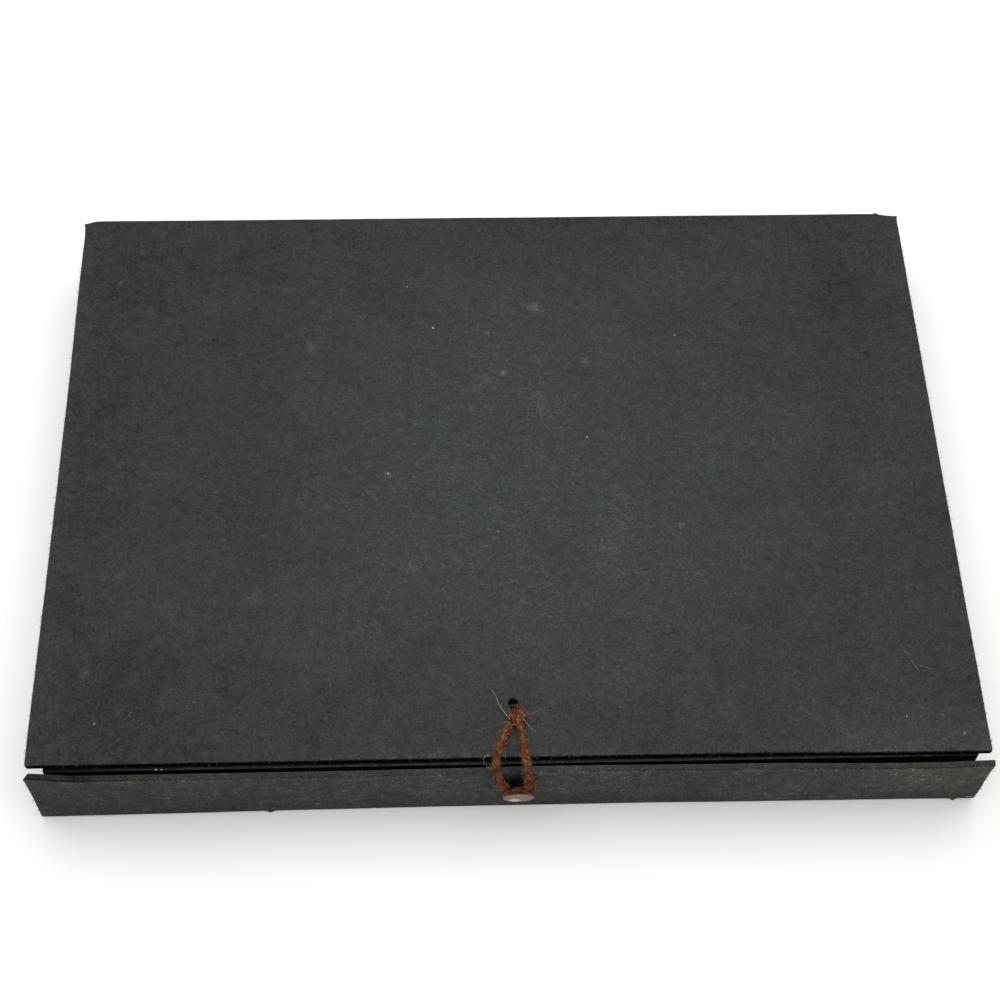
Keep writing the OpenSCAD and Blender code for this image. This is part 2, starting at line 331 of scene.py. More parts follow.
# %% Strands along a line
def crossing_frames(line):
    """Two directions across the line at each point, carried along it with as little turn as can be."""
    ahead = np.gradient(line, axis=0)
    ahead /= np.linalg.norm(ahead, axis=1)[:, None]
    side = np.cross(ahead[0], (0.3, 0.2, 1.0))
    sides = []
    for direction in ahead:
        side = side - direction * side.dot(direction)
        side = side / np.linalg.norm(side)
        sides.append(side)
    sides = np.array(sides)
    return sides, np.cross(ahead, sides)


FLAP_TOP = 24.3 * MM
# How far from a face a strand still counts as lying on that board
NEAR_FACE = 0.2 * MM
FLAP_DEPTH = 1.6 * MM


def clear_of_box(points, room):
    """Pushes points that lie in the lid or the flap out to the nearer face."""
    points = points.copy()
    over_lid = points[:, 1] > LID_FRONT - NEAR_FACE
    low = over_lid & (points[:, 2] < LID_TOP + room)
    points[low, 2] = LID_TOP + room
    rel = points - np.array(CREASE_CENTRE)
    out = rel @ np.array(FLAP_OUT)
    rise = rel @ np.array(FLAP_UP)
    face = CREASE_R + room
    inside = (rise < FLAP_TOP) & (out < face) & (out > -NEAR_FACE)
    points[inside] += np.outer(face - out[inside], np.array(FLAP_OUT))
    above = (rise >= FLAP_TOP) & (rise < FLAP_TOP + room) & (out < face) & (out > -FLAP_DEPTH)
    points[above] += np.outer(FLAP_TOP + room - rise[above], np.array(FLAP_UP))
    return points


def tube(centres, across, upward, radii, sides):
    """Points and faces of a closed tube, with a ring of points round each centre."""
    corners = np.arange(sides) * 2 * np.pi / sides
    points = [
        c + r * (math.cos(w) * n + math.sin(w) * m)
        for c, n, m, r in zip(centres, across, upward, radii) for w in corners
    ]
    return points, ring_faces(len(centres), sides)


def joined(*bundles):
    """Several bundles of strands as one set of points, faces and tones."""
    points, faces, tones = [], [], []
    for more_points, more_faces, more_tones in bundles:
        start = len(points)
        points.extend(more_points)
        faces.extend(tuple(i + start for i in face) for face in more_faces)
        tones.extend(more_tones)
    return points, faces, tones


STRAND_SIDES = 5
# A random start anywhere in a turn, in radians
ANY_PHASE = (0, 6.3)
# Shares of the twine's width: a ply's radius and the thinnest and thickest strand's radius
PLY_SHARE = 0.26
STRAND_SHARES = (0.075, 0.125)
# Waves in a strand for each turn of the lay, and their size as a share of the width
WAVES = ((3.1, 0.05), (7.7, 0.03), (17.0, 0.018))


def twine_strands(
    line, plies, strands, width, lay, seed, loosen=None, clear=clear_of_box, painted_shading=0.0
):
    """Points, faces and tones of plies of strands wound along a line; painted shading darkens them."""
    rng = np.random.default_rng(seed)
    across, upward = crossing_frames(line)
    along = np.concatenate([[0], np.cumsum(np.linalg.norm(np.diff(line, axis=0), axis=1))])
    loose = np.ones(len(line)) if loosen is None else loosen(line)
    ply_r = width * PLY_SHARE
    tubes = []
    for ply in range(plies):
        ply_turn = 2 * np.pi * (ply / plies + along / lay)
        for _ in range(strands):
            strand_turn = rng.uniform(0, 2 * np.pi) - 2 * np.pi * along / (lay * 0.7)
            reach = ply_r * 0.95 * math.sqrt(rng.uniform(0.05, 1))
            radius = width * rng.uniform(*STRAND_SHARES)
            a = ply_r * loose * np.cos(ply_turn) + reach * loose * np.cos(strand_turn)
            b = ply_r * loose * np.sin(ply_turn) + reach * loose * np.sin(strand_turn)
            for turns, size in WAVES:
                swing = size * width * loose ** 3
                a += swing * np.sin(turns * along / lay + rng.uniform(*ANY_PHASE))
                b += swing * np.sin(turns * along / lay + rng.uniform(*ANY_PHASE))
            centre = line + a[:, None] * across + b[:, None] * upward
            if clear:
                centre = clear(centre, radius * 1.1)
            thick = radius * (1 + 0.25 * np.sin(along / (0.9 * MM) + rng.uniform(*ANY_PHASE)))
            tone = rng.uniform(-0.1, 1.15) - painted_shading * rng.uniform(0.3, 1.7) * np.ones(len(line))
            points, faces = tube(centre, across, upward, thick, STRAND_SIDES)
            tubes.append((points, faces, np.repeat(tone, STRAND_SIDES)))
    return joined(*tubes)


def twine_piece(name, material, *bundles):
    """One mesh of strands with their tones."""
    points, faces, tones = joined(*bundles)
    piece = new_object(name, points, faces, {"tone": tones, "fray": np.ones(len(points))})
    return settle(piece, material)


# %% Twine loop
LOOP_LAY = 5.5 * MM
TIGHT_WIDTH = 0.84
LOOSE_WIDTH = 1.42


def on_flap(line):
    """How far the twine has left the lid: 0 on it, 1 on the flap's face."""
    drop = (LID_TOP + 0.8 * MM - line[:, 2]) / (3 * MM)
    return np.clip(drop, 0, 1)


def past_edge(line):
    """How far the twine has come out over the lid's front edge: 0 behind it, 1 in front."""
    return np.clip((LID_FRONT + 0.5 * MM - line[:, 1]) / (2.5 * MM), 0, 1)


def worn_loose(line):
    """The twine is drawn tight on the lid and opens up on the flap, where it rubs on the button."""
    swell = np.array([noise.noise(Vector(p) / (2.5 * MM)) for p in line])
    return (TIGHT_WIDTH + (LOOSE_WIDTH - TIGHT_WIDTH) * on_flap(line)) * (1 + 0.35 * swell)


twine_loop = twine_piece(
    "twine_loop_strands", rusty_twine,
    twine_strands(
        loop_line, 3, 7, TWINE_D, LOOP_LAY, seed=11, loosen=worn_loose,
        # Past the lid's edge and on the flap the twine is painted darker, as painted shade
        painted_shading=0.5 * past_edge(loop_line) + 0.55 * on_flap(loop_line) - 0.05,
    ),
)
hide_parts("twine_loop")
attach(twine_loop, "loop")
print("loop strands, triangles:", count(twine_loop))

# %% [markdown]
# ## The knot, the neck and the stopper
#
# Both ends of the loop are tied together on the lid and go down through the hole as a short doubled
# neck, and a second knot inside keeps them from pulling out. An overhand knot is a trefoil, whose line
# has a simple formula, so the same strands are swept along it. The neck comes up at the hole's front
# edge and runs to the knot.

# %% Knots
SWING = np.array(joints["loop_swing"]["pos_m"])
knot_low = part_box("twine_knot")[0]
stopper_low, stopper_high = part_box("twine_stopper")
KNOT_CENTRE = np.array((SWING[0] + 0.65 * MM, knot_low.y + 2.4 * MM, LID_TOP + 1.7 * MM))
STOPPER_CENTRE = np.array((stopper_low + stopper_high) / 2)
KNOT_STEPS = 90
KNOT_TWINE_D = 1.2 * MM
KNOT_LAY = 4 * MM


def trefoil(centre, size, height):
    """The line of an overhand knot lying flat."""
    t = np.linspace(0, 2 * np.pi, KNOT_STEPS, endpoint=False)
    x = np.sin(t) + 2 * np.sin(2 * t)
    y = np.cos(t) - 2 * np.cos(2 * t)
    flat = np.stack([x * size / 3, y * size / 3, -np.sin(3 * t) * height], axis=1)
    return centre + np.vstack([flat, flat[:1]])


STEM_BACK = 0.85 * MM
NECK_START = np.array((SWING[0], SWING[1] - STEM_BACK, LID_TOP - 0.5 * MM))


def neck_line(side):
    """One of the strands that fan out from the hole to the knot."""
    start = NECK_START + np.array((side * 0.5 * MM, 0, 0))
    rise = NECK_START + np.array((side * 0.6 * MM, -0.3 * MM, 0.9 * MM))
    over = NECK_START + np.array((side * 1.0 * MM + 0.15 * MM, -1.5 * MM, 1.3 * MM))
    end = KNOT_CENTRE + np.array((side * 1.2 * MM, 0.7 * MM, 0.1 * MM))
    return smooth_line([start, rise, over, end], 0.3 * MM)


# The knot is painted a little lighter, as a painted highlight, and the neck much darker, as painted shade
twine_knot = twine_piece(
    "twine_knot_strands", rusty_twine,
    twine_strands(
        trefoil(KNOT_CENTRE, 1.6 * MM, 0.6 * MM), 3, 6, KNOT_TWINE_D, KNOT_LAY, seed=21, painted_shading=-0.2
    ),
)
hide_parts("twine_knot")
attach(twine_knot, "loop")
twine_neck = twine_piece(
    "twine_neck_strands", rusty_twine,
    *[
        twine_strands(neck_line(side), 2, 6, 0.9 * MM, KNOT_LAY, seed=seed, clear=None, painted_shading=1.4)
        for side, seed in ((-1, 22), (0, 23), (1, 27))
    ],
)
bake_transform(twine_neck)


def stem_line(side):
    """One of the two strands in the lid's hole, from the stopper up to the neck."""
    x = SWING[0] + side * 0.45 * MM
    bottom = (x, NECK_START[1], STOPPER_CENTRE[2])
    top = (x, NECK_START[1], NECK_START[2] + 0.2 * MM)
    return smooth_line([bottom, top], 0.4 * MM)


def in_lid(line, strands, width, seed):
    """Strands inside the lid and under it, where nothing has to push them out."""
    # These strands are painted darker, as painted shade in the hole and under the lid
    return twine_strands(line, 2, strands, width, KNOT_LAY, seed=seed, clear=None, painted_shading=0.6)


twine_stem = twine_piece(
    "twine_stem_strands", rusty_twine,
    in_lid(stem_line(-1), 5, 1.0 * MM, 24),
    in_lid(stem_line(1), 5, 1.0 * MM, 25),
)
twine_stopper = twine_piece(
    "twine_stopper_strands", rusty_twine,
    in_lid(trefoil(STOPPER_CENTRE, 1.35 * MM, 0.6 * MM), 6, KNOT_TWINE_D, 26),
)
for piece, node in ((twine_stem, "twine_stem"), (twine_stopper, "twine_stopper")):
    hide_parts(node)
    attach(piece, "lid")
print("knot strands, triangles:", count(twine_knot), "and below the lid:", count(twine_stopper))

# %% [markdown]
# ## Loose fibres
#
# Old twine is hairy, and the edges of handmade paper are too. Modelling hairs by hand would take for
# ever, and Blender's hair system doesn't survive an export, so a small Geometry Nodes tree scatters
# one bent fibre over a mesh, thickest where the mesh's own "fray" attribute is high. The tree's
# inputs are the fibre's sizes, and its seed is fixed, so each run grows the same fibres.

# %% Geometry Nodes tree for fibres
def make_fibre_tree():
    """Scatters bent fibres over a mesh and gives back only the fibres."""
    tree = bpy.data.node_groups.new("loose_fibres", "GeometryNodeTree")
    sockets = [
        ("Mesh", "NodeSocketGeometry"), ("Fibres per area", "NodeSocketFloat"),
        ("Shortest", "NodeSocketFloat"), ("Longest", "NodeSocketFloat"),
        ("Slimness", "NodeSocketFloat"), ("Rise", "NodeSocketFloat"), ("Lean", "NodeSocketFloat"),
        ("Seed", "NodeSocketInt"), ("Material", "NodeSocketMaterial"),
    ]
    for name, kind in sockets:
        tree.interface.new_socket(name, in_out="INPUT", socket_type=kind)
    tree.interface.new_socket("Fibres", in_out="OUTPUT", socket_type="NodeSocketGeometry")
    given = add(tree, "NodeGroupInput")
    fray = add(tree, "GeometryNodeInputNamedAttribute", {"Name": "fray"}, data_type="FLOAT")
    crowd = add(
        tree, "ShaderNodeMath",
        {0: given["Fibres per area"], 1: fray["Attribute"]}, operation="MULTIPLY",
    )
    roots = add(
        tree, "GeometryNodeDistributePointsOnFaces",
        {"Mesh": given["Mesh"], "Density": crowd[0], "Seed": given["Seed"]},
    )
    # The fibre leaves the surface upright and curls over; the rise is how high its tip ends
    tip = add(tree, "ShaderNodeCombineXYZ", {0: 0.8, 1: -0.1, 2: given["Rise"]})
    bend = add(
        tree, "GeometryNodeCurvePrimitiveBezierSegment",
        {"Resolution": 7, "Start": (0, 0, 0), "Start Handle": (0.05, 0.05, 0.4),
         "End Handle": (0.55, 0.35, 0.5), "End": tip[0]},
    )
    section = add(
        tree, "GeometryNodeCurvePrimitiveCircle", {"Resolution": 3, "Radius": given["Slimness"]}
    )
    fibre = add(
        tree, "GeometryNodeCurveToMesh",
        {"Curve": bend[0], "Profile Curve": section[0], "Fill Caps": True},
    )
    lean = add(tree, "ShaderNodeCombineXYZ", {0: given["Lean"], 1: given["Lean"], 2: math.pi})
    other = add(tree, "ShaderNodeVectorMath", {0: lean[0], "Scale": -1.0}, operation="SCALE")
    turn = add(
        tree, "FunctionNodeRandomValue",
        {0: other[0], 1: lean[0], "Seed": 3}, data_type="FLOAT_VECTOR",
    )
    spin = add(tree, "FunctionNodeEulerToRotation", {0: turn[0]})
    stance = add(
        tree, "FunctionNodeRotateRotation",
        {"Rotation": roots["Rotation"], "Rotate By": spin[0]}, rotation_space="LOCAL",
    )
    length = add(
        tree, "FunctionNodeRandomValue",
        {2: given["Shortest"], 3: given["Longest"], "Seed": 5}, data_type="FLOAT",
    )
    placed = add(
        tree, "GeometryNodeInstanceOnPoints",
        {"Points": roots["Points"], "Instance": fibre[0],
         "Rotation": stance[0], "Scale": length[1]},
    )
    tone = add(tree, "FunctionNodeRandomValue", {2: 0.0, 3: 1.0, "Seed": 7}, data_type="FLOAT")
    toned = add(
        tree, "GeometryNodeStoreNamedAttribute",
        {"Geometry": placed[0], "Name": "tone", "Value": tone[1]},
        data_type="FLOAT", domain="INSTANCE",
    )
    real = add(tree, "GeometryNodeRealizeInstances", {"Geometry": toned[0]})
    dressed = add(
        tree, "GeometryNodeSetMaterial",
        {"Geometry": real[0], "Material": given["Material"]},
    )
    add(tree, "NodeGroupOutput", {"Fibres": dressed[0]})
    return tree


fibre_tree = make_fibre_tree()


def grow_fibres(host, name, material, crowd, lengths, slimness, rise, lean, seed):
    """Fibres on a piece's mesh, as a piece of their own."""
    piece = bpy.data.objects.new(name, host.data)
    scene.collection.objects.link(piece)
    modifier = piece.modifiers.new("fibres", "NODES")
    modifier.node_group = fibre_tree
    values = {
        "Fibres per area": crowd, "Shortest": lengths[0], "Longest": lengths[1],
        "Slimness": slimness, "Rise": rise, "Lean": lean, "Seed": seed, "Material": material,
    }
    for socket in fibre_tree.interface.items_tree:
        if socket.name in values:
            modifier[socket.identifier] = values[socket.name]
    return settle(piece, sharp=False)


# %% Fuzz on the twine
PER_MM2 = 1 / MM ** 2
loop_fuzz = grow_fibres(
    twine_loop, "twine_loop_fuzz", loose_fibre,
    3.2 * PER_MM2, (0.6 * MM, 1.9 * MM), 0.015, 0.15, 0.6, 31,
)
knot_fuzz = grow_fibres(
    twine_knot, "twine_knot_fuzz", loose_fibre,
    3.2 * PER_MM2, (0.5 * MM, 1.9 * MM), 0.016, 0.2, 0.7, 32,
)
for piece in (loop_fuzz, knot_fuzz):
    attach(piece, "loop")
print("fuzz, triangles:", count(loop_fuzz) + count(knot_fuzz))

# %% [markdown]
# ## Stray hairs
#
# A few long hairs stand out of the knot and the legs. Each has its own bend, so these are drawn one
# by one, as thin tapering tubes through a few points.

# %% Stray hairs
# Millimetres right of the middle, behind the lid's front edge and above the lid's top,
# with each hair's radius in millimetres first
STRAY_HAIRS = [
    ("pale", 0.07, [
        (-0.2, 9.2, 2.6), (-1.2, 11, 1.9), (-2.4, 13.3, 1.2), (-3.1, 15, 0.8), (-3.6, 17, 0.5),
        (-5, 19.1, 0.4),
    ]),
    ("pale", 0.022, [
        (2.7, 10, 2.6), (5, 10.9, 1.8), (7.7, 12.4, 1), (10.2, 13.6, 0.5), (11.4, 14.1, 0.4),
    ]),
    ("pale", 0.05, [(2.6, 9.9, 2.6), (3.7, 9, 2), (4.5, 8, 1.3), (5.5, 7.3, 0.7), (6.4, 6.5, 0.4)]),
    ("pale", 0.035, [
        (-5.3, -0.1, 1), (-6, 0, 1.2), (-6.6, -0.2, 1.2), (-7.1, -0.9, 1.1), (-7, -1.8, 0.9),
        (-6.4, -2.4, 0.6), (-5.5, -3.3, 0.2), (-4.5, -4.3, -0.9),
    ]),
    ("pale", 0.02, [(-1.6, 2.5, 0.4), (-1.6, 0.7, 0.4), (-1.5, -0.7, 0.4), (-1.5, -2, 0.3)]),
    ("rust", 0.1, [(1.4, 10.3, 2.9), (2.5, 10, 2.8), (3.7, 10.1, 2.2), (4.5, 10, 1.6), (5.2, 9.9, 0.9)]),
    ("rust", 0.08, [(1.1, 9.4, 3), (2.4, 9.6, 2.6), (3.5, 9.6, 1.8), (4.5, 9.3, 1)]),
    ("rust", 0.06, [(2.2, 11.6, 1.6), (3.2, 11.3, 1.4), (4.5, 10.6, 1), (5.4, 9.8, 0.6), (5.8, 9, 0.4)]),
    ("rust", 0.06, [(1, 13.3, 1.6), (1.9, 13.2, 1.4), (2.8, 12.7, 1.1), (3.5, 12.2, 0.8)]),
    ("rust", 0.05, [(1.5, 13.9, 1.5), (2.6, 13.5, 1.2), (3.4, 13.1, 0.8), (4.2, 12.2, 0.5)]),
    ("rust", 0.09, [(-0.8, 11.7, 1.6), (-0.2, 11.5, 2.4), (0.6, 11, 2.9), (1.4, 10.3, 2.9)]),
    ("pale", 0.015, [(-0.9, 8.9, 1.5), (-3.9, 8.5, 0.7), (-6.5, 7.8, 0.4), (-9, 7.1, 0.3)]),
    ("rust", 0.03, [
        (3.7, 2.8, 1.4), (4.5, 1.5, 0.8), (5.7, 0.3, 0.6), (6.8, -1.6, 0.5), (7.7, -3.2, 0.3),
    ]),
    ("rust", 0.03, [(2.4, 3.7, 0.7), (1.5, 3, 0.4), (0.8, 2.4, 0.3)]),
    ("rust", 0.03, [(-0.7, 6.7, 1), (0.1, 7.1, 0.6), (0.7, 6.8, 0.4)]),
    ("rust", 0.03, [(-1.8, 4.5, 0.9), (-0.9, 5, 0.5), (-0.1, 4.9, 0.3)]),
]
# Millimetres right and back from the frame's origin, for short hairs that lie on the lid
LID_HAIRS = [
    (0.05, [(102.8, -58.1), (103.3, -59.3)]), (0.06, [(103.4, -60.1), (105.1, -61.6)]),
    (0.08, [(105.0, -62.9), (105.5, -64.2), (106.5, -66.0)]),
    (0.04, [(107.0, -64.4), (109.0, -65.2), (110.5, -65.8)]),
    (0.03, [(-46.1, -65.3), (-45.9, -68.5), (-45.9, -70.7)]),
    (0.02, [(-96.2, -73.7), (-98.3, -76.9)]), (0.02, [(-98.3, -81.1), (-102.8, -84.1)]),
]
HAIR_SIDES = 4
HAIR_TAPER = 0.75


def hair_tube(course, radius, tone=0.5):
    """Points, faces and tones of a thin tube that tapers to its tip."""
    line = smooth_line(course, 0.5 * MM)
    radii = radius * (1 - HAIR_TAPER * np.arange(len(line)) / (len(line) - 1))
    points, faces = tube(line, *crossing_frames(line), radii, HAIR_SIDES)
    return points, faces, [tone] * len(points)


for colour, material in (("pale", pale_fibre), ("rust", loose_fibre)):
    tubes = [
        hair_tube([(x * MM, LID_FRONT + y * MM, LID_TOP + z * MM) for x, y, z in points], radius * MM)
        for kind, radius, points in STRAY_HAIRS if kind == colour
    ]
    piece = twine_piece(f"stray_{colour}_hairs", material, *tubes)
    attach(piece, "loop")
lying = LID_TOP + 0.05 * MM
tubes = [
    hair_tube([(x * MM, y * MM, lying) for x, y in spots], radius * MM)
    for radius, spots in LID_HAIRS
]
lid_hairs = twine_piece("lid_hairs", grey_fibre, *tubes)
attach(lid_hairs, "lid")
print("stray hairs:", len(STRAY_HAIRS), "and on the lid:", len(LID_HAIRS))

# %% [markdown]
# ## Strands that came loose
#
# On the flap the twine has rubbed open for years. Thin strands wind round the legs in their own way,
# and some lie over the top of the button's edge. Each is a tube like the stray hairs, with a course
# that random numbers with a fixed seed decide.

# %% Loose strands
LOOSE_STRANDS = 110
LOOSE_REACH = (2.5, 6.5)
LOOSE_RADIUS = (0.03, 0.06)
RIM_STRANDS = 80
RIM_RADIUS = (0.04, 0.075)
# Degrees round the button: where a strand's middle may be, half its length, and where it has to stop
RIM_MIDDLE = (30, 150)
RIM_SPREAD = (12, 45)
RIM_ENDS = (8, 172)
# How far forward on the rim a strand may lie, as a share of the button's thickness
RIM_FRONT = 0.45
head_low, head_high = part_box("button_head")
HEAD_CENTRE = (head_low + head_high) / 2
HEAD_NOD = math.radians(5)
HEAD_AXIS = Vector((0, -math.cos(FLAP_LEAN + HEAD_NOD), -math.sin(FLAP_LEAN + HEAD_NOD)))
HEAD_SIDE = Vector((1, 0, 0))
HEAD_UP = HEAD_AXIS.cross(HEAD_SIDE)
HEAD_R = (head_high.x - head_low.x) / 2
HEAD_T = 1.3 * MM
loop_across, loop_up = crossing_frames(loop_line)
loop_along = np.concatenate([[0], np.cumsum(np.linalg.norm(np.diff(loop_line, axis=0), axis=1))])


def winding_strand(rng):
    """A thin strand that has left the bundle and winds round it."""
    middle = np.clip(rng.normal(0.5, 0.2), 0.1, 0.9) * loop_length
    reach = rng.uniform(*LOOSE_REACH) * MM
    rows = np.flatnonzero(np.abs(loop_along - middle) < reach / 2)[::2]
    far = loop_along[rows] / MM
    turn = rng.uniform(*ANY_PHASE) + rng.uniform(-1.1, 1.1) * far
    turn += 0.7 * np.sin(rng.uniform(1.5, 4) * far + rng.uniform(*ANY_PHASE))
    out = TWINE_D / 2 * worn_loose(loop_line[rows]) * rng.uniform(0.85, 1.3)
    out *= 1 + 0.3 * np.sin(rng.uniform(1, 3) * far + rng.uniform(*ANY_PHASE))
    sideways = (out * np.cos(turn))[:, None] * loop_across[rows]
    upward = (out * np.sin(turn))[:, None] * loop_up[rows]
    points = clear_of_box(loop_line[rows] + sideways + upward, 0.06 * MM)
    # Loose strands on the flap are painted darker, as painted shade
    tone = rng.uniform(-0.6, 1.1) - 0.5 * on_flap(points).mean()
    return hair_tube(points, rng.uniform(*LOOSE_RADIUS) * MM, tone)


def rim_strand(rng):
    """A strand that lies over the top of the button's edge."""
    middle = rng.uniform(*RIM_MIDDLE)
    spread = rng.uniform(*RIM_SPREAD)
    first, last = rng.uniform(-0.9, RIM_FRONT, 2) * HEAD_T
    bow = rng.uniform(-0.3, 0.3) * MM
    points = []
    for t in np.linspace(0, 1, 9):
        w = math.radians(np.clip(middle + spread * (2 * t - 1), *RIM_ENDS))
        out = HEAD_R + rng.uniform(0.03, 0.2) * MM
        depth = first + (last - first) * t + bow * math.sin(math.pi * t)
        across = HEAD_SIDE * math.cos(w) + HEAD_UP * math.sin(w)
        points.append(HEAD_CENTRE + across * out + HEAD_AXIS * min(depth, RIM_FRONT * HEAD_T))
    return hair_tube(points, rng.uniform(*RIM_RADIUS) * MM, rng.uniform(-1.2, 1.0))


rng = np.random.default_rng(51)
tubes = [winding_strand(rng) for _ in range(LOOSE_STRANDS)]
tubes += [rim_strand(rng) for _ in range(RIM_STRANDS)]
loose_strands = twine_piece("twine_loose_strands", loose_fibre, *tubes)
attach(loose_strands, "loop")
print("loose strands, triangles:", count(loose_strands))

# %% [markdown]
# ## The covering paper's finish
#
# The paper is handmade and dyed black in the pulp. Up close it is a felt of short fibres, so it has a
# fine grain, soft clumps and pale single fibres, and no gloss. It is charcoal, drawn paler towards the
# middle of the lid. Handling rubbed its edges to olive brown and left pale smudges and specks of dust.
# Where it is turned in under the boards it is still deep black, and over the boards' edges and down
# their sides, and on the tray's walls, it is painted darker as painted shade. Everything is worked out
# from Object coordinates, so the grain runs on from one piece of the case to the next, and three
# attributes on the mesh say where the paper is paler (worn, and on the tray's rim painted light), where
# it is darker (unfaded, and painted shade) and where it is tanned.

# %% Marks on the lid and the flap
# Right, back and up from the frame's origin in millimetres, then radius in millimetres and strength
SMUDGES_AND_SHADE = [
    (11.2, 53.4, 25, 3.4, 0.20), (7.8, 54.8, 25, 2.2, 0.10), (-53.3, 40.0, 25, 3.8, 0.15),
    (1.2, 30.3, 25, 1.8, 0.22), (-2.3, 1.9, 25, 1.5, 0.20), (-31.4, -3.5, 25, 1.7, 0.20),
    (-30.4, -7.7, 25, 2.2, 0.08), (-66.2, -41.3, 25, 4.2, 0.11), (48.3, -20.9, 25, 1.8, 0.18),
    (-47.7, -13.6, 25, 2.4, 0.12), (-3.0, 44.6, 25, 1.6, 0.14), (25.1, 33.8, 25, 2.6, 0.09),
    (-102.3, -34.1, 25, 2.6, 0.10), (-99.7, -73.7, 25, 2.4, 0.09), (-100.5, 52.4, 25, 4.0, 0.07),
    (-92, -34, 25, 26, 0.06), (-111, 66, 25, 30, -0.05), (-98.5, 82.5, 25, 1.6, 0.12),
    (112, -35, 25, 20, -0.03),
    (15, 84, 25, 50, -0.035), (-112, 40, 25, 18, -0.035), (100, -12, 25, 16, 0.035),
    # Near the lid's front edge at its left end, the marks at (-108, -89) and (-96, -89) are painted shade
    (8, -32, 25, 22, -0.03), (89.5, -86, 25, 7, 0.05), (-108, -89, 25, 5, -0.12),
    (-96, -89, 25, 4, -0.06),
    # The flap's tone changes slowly along it
    (-95, -92, 12, 26, -0.03), (33, -92, 12, 34, -0.06), (72, -92, 12, 24, 0.045),
    (110, -92, 13, 34, 0.12), (100, -92.5, 23.5, 14, 0.05),
    (-109, -62.2, 25, 2, 0.14), (-109.8, 64.4, 25, 1.2, 0.2), (115.7, -83.7, 25, 0.9, 0.25),
    (-112.1, -92.6, 24.0, 1.8, 0.12),
    (-100.1, -91.6, 9.9, 1.6, 0.12), (-87.6, -91.8, 12.2, 1.4, 0.16), (116.2, -91.9, 13.9, 1.6, 0.14),
    # Round the peg the flap is painted dark: partly a stain from the twine and the peg, partly painted shadow of
    # the button and the twine
    (1.7, -92.1, 18.5, 4.6, -0.6), (1.0, -92.3, 21.5, 3.4, -0.12), (1.0, -92.6, 24.0, 3.4, -0.3),
]
SPECKS = [
    (-18.6, 46.6, 25, 0.55, 0.75), (-26.1, 61.7, 25, 0.6, 0.35), (24.0, 8.1, 25, 0.45, 0.7),
    (51.3, 43.0, 25, 0.35, 0.7), (105.6, 66.2, 25, 0.35, 0.6), (-105.4, -76.9, 25, 0.4, 0.9),
    (-108.9, -88.0, 24.2, 0.45, 1.6), (-1.6, -22.0, 25, 0.25, 0.8), (-31.4, -3.0, 25, 0.35, 0.5),
    (101.5, -78.7, 25, 0.35, 0.6), (110.9, -78.3, 25, 0.3, 0.4), (108.4, 73.1, 25, 0.3, 0.4),
    (-104.7, -91.8, 12.5, 0.4, 0.5), (120.5, -91.5, 1.7, 0.5, 1.2), (121.3, -91.5, 1.8, 0.5, 1.2),
    (-104.6, -91.8, 12.1, 0.5, 0.3),
    (-89.4, -88.6, 22.2, 0.5, 1.4), (-88.0, -88.6, 22.2, 0.4, 1.2), (-114.7, 77.8, 25, 0.3, 0.5),
    (-89.1, 84.8, 25, 0.3, 0.4), (103.0, 79.6, 25, 0.3, 0.5), (108.6, 76.1, 25, 0.3, 0.4),
]
print("smudges and specks:", len(SMUDGES_AND_SHADE), len(SPECKS))


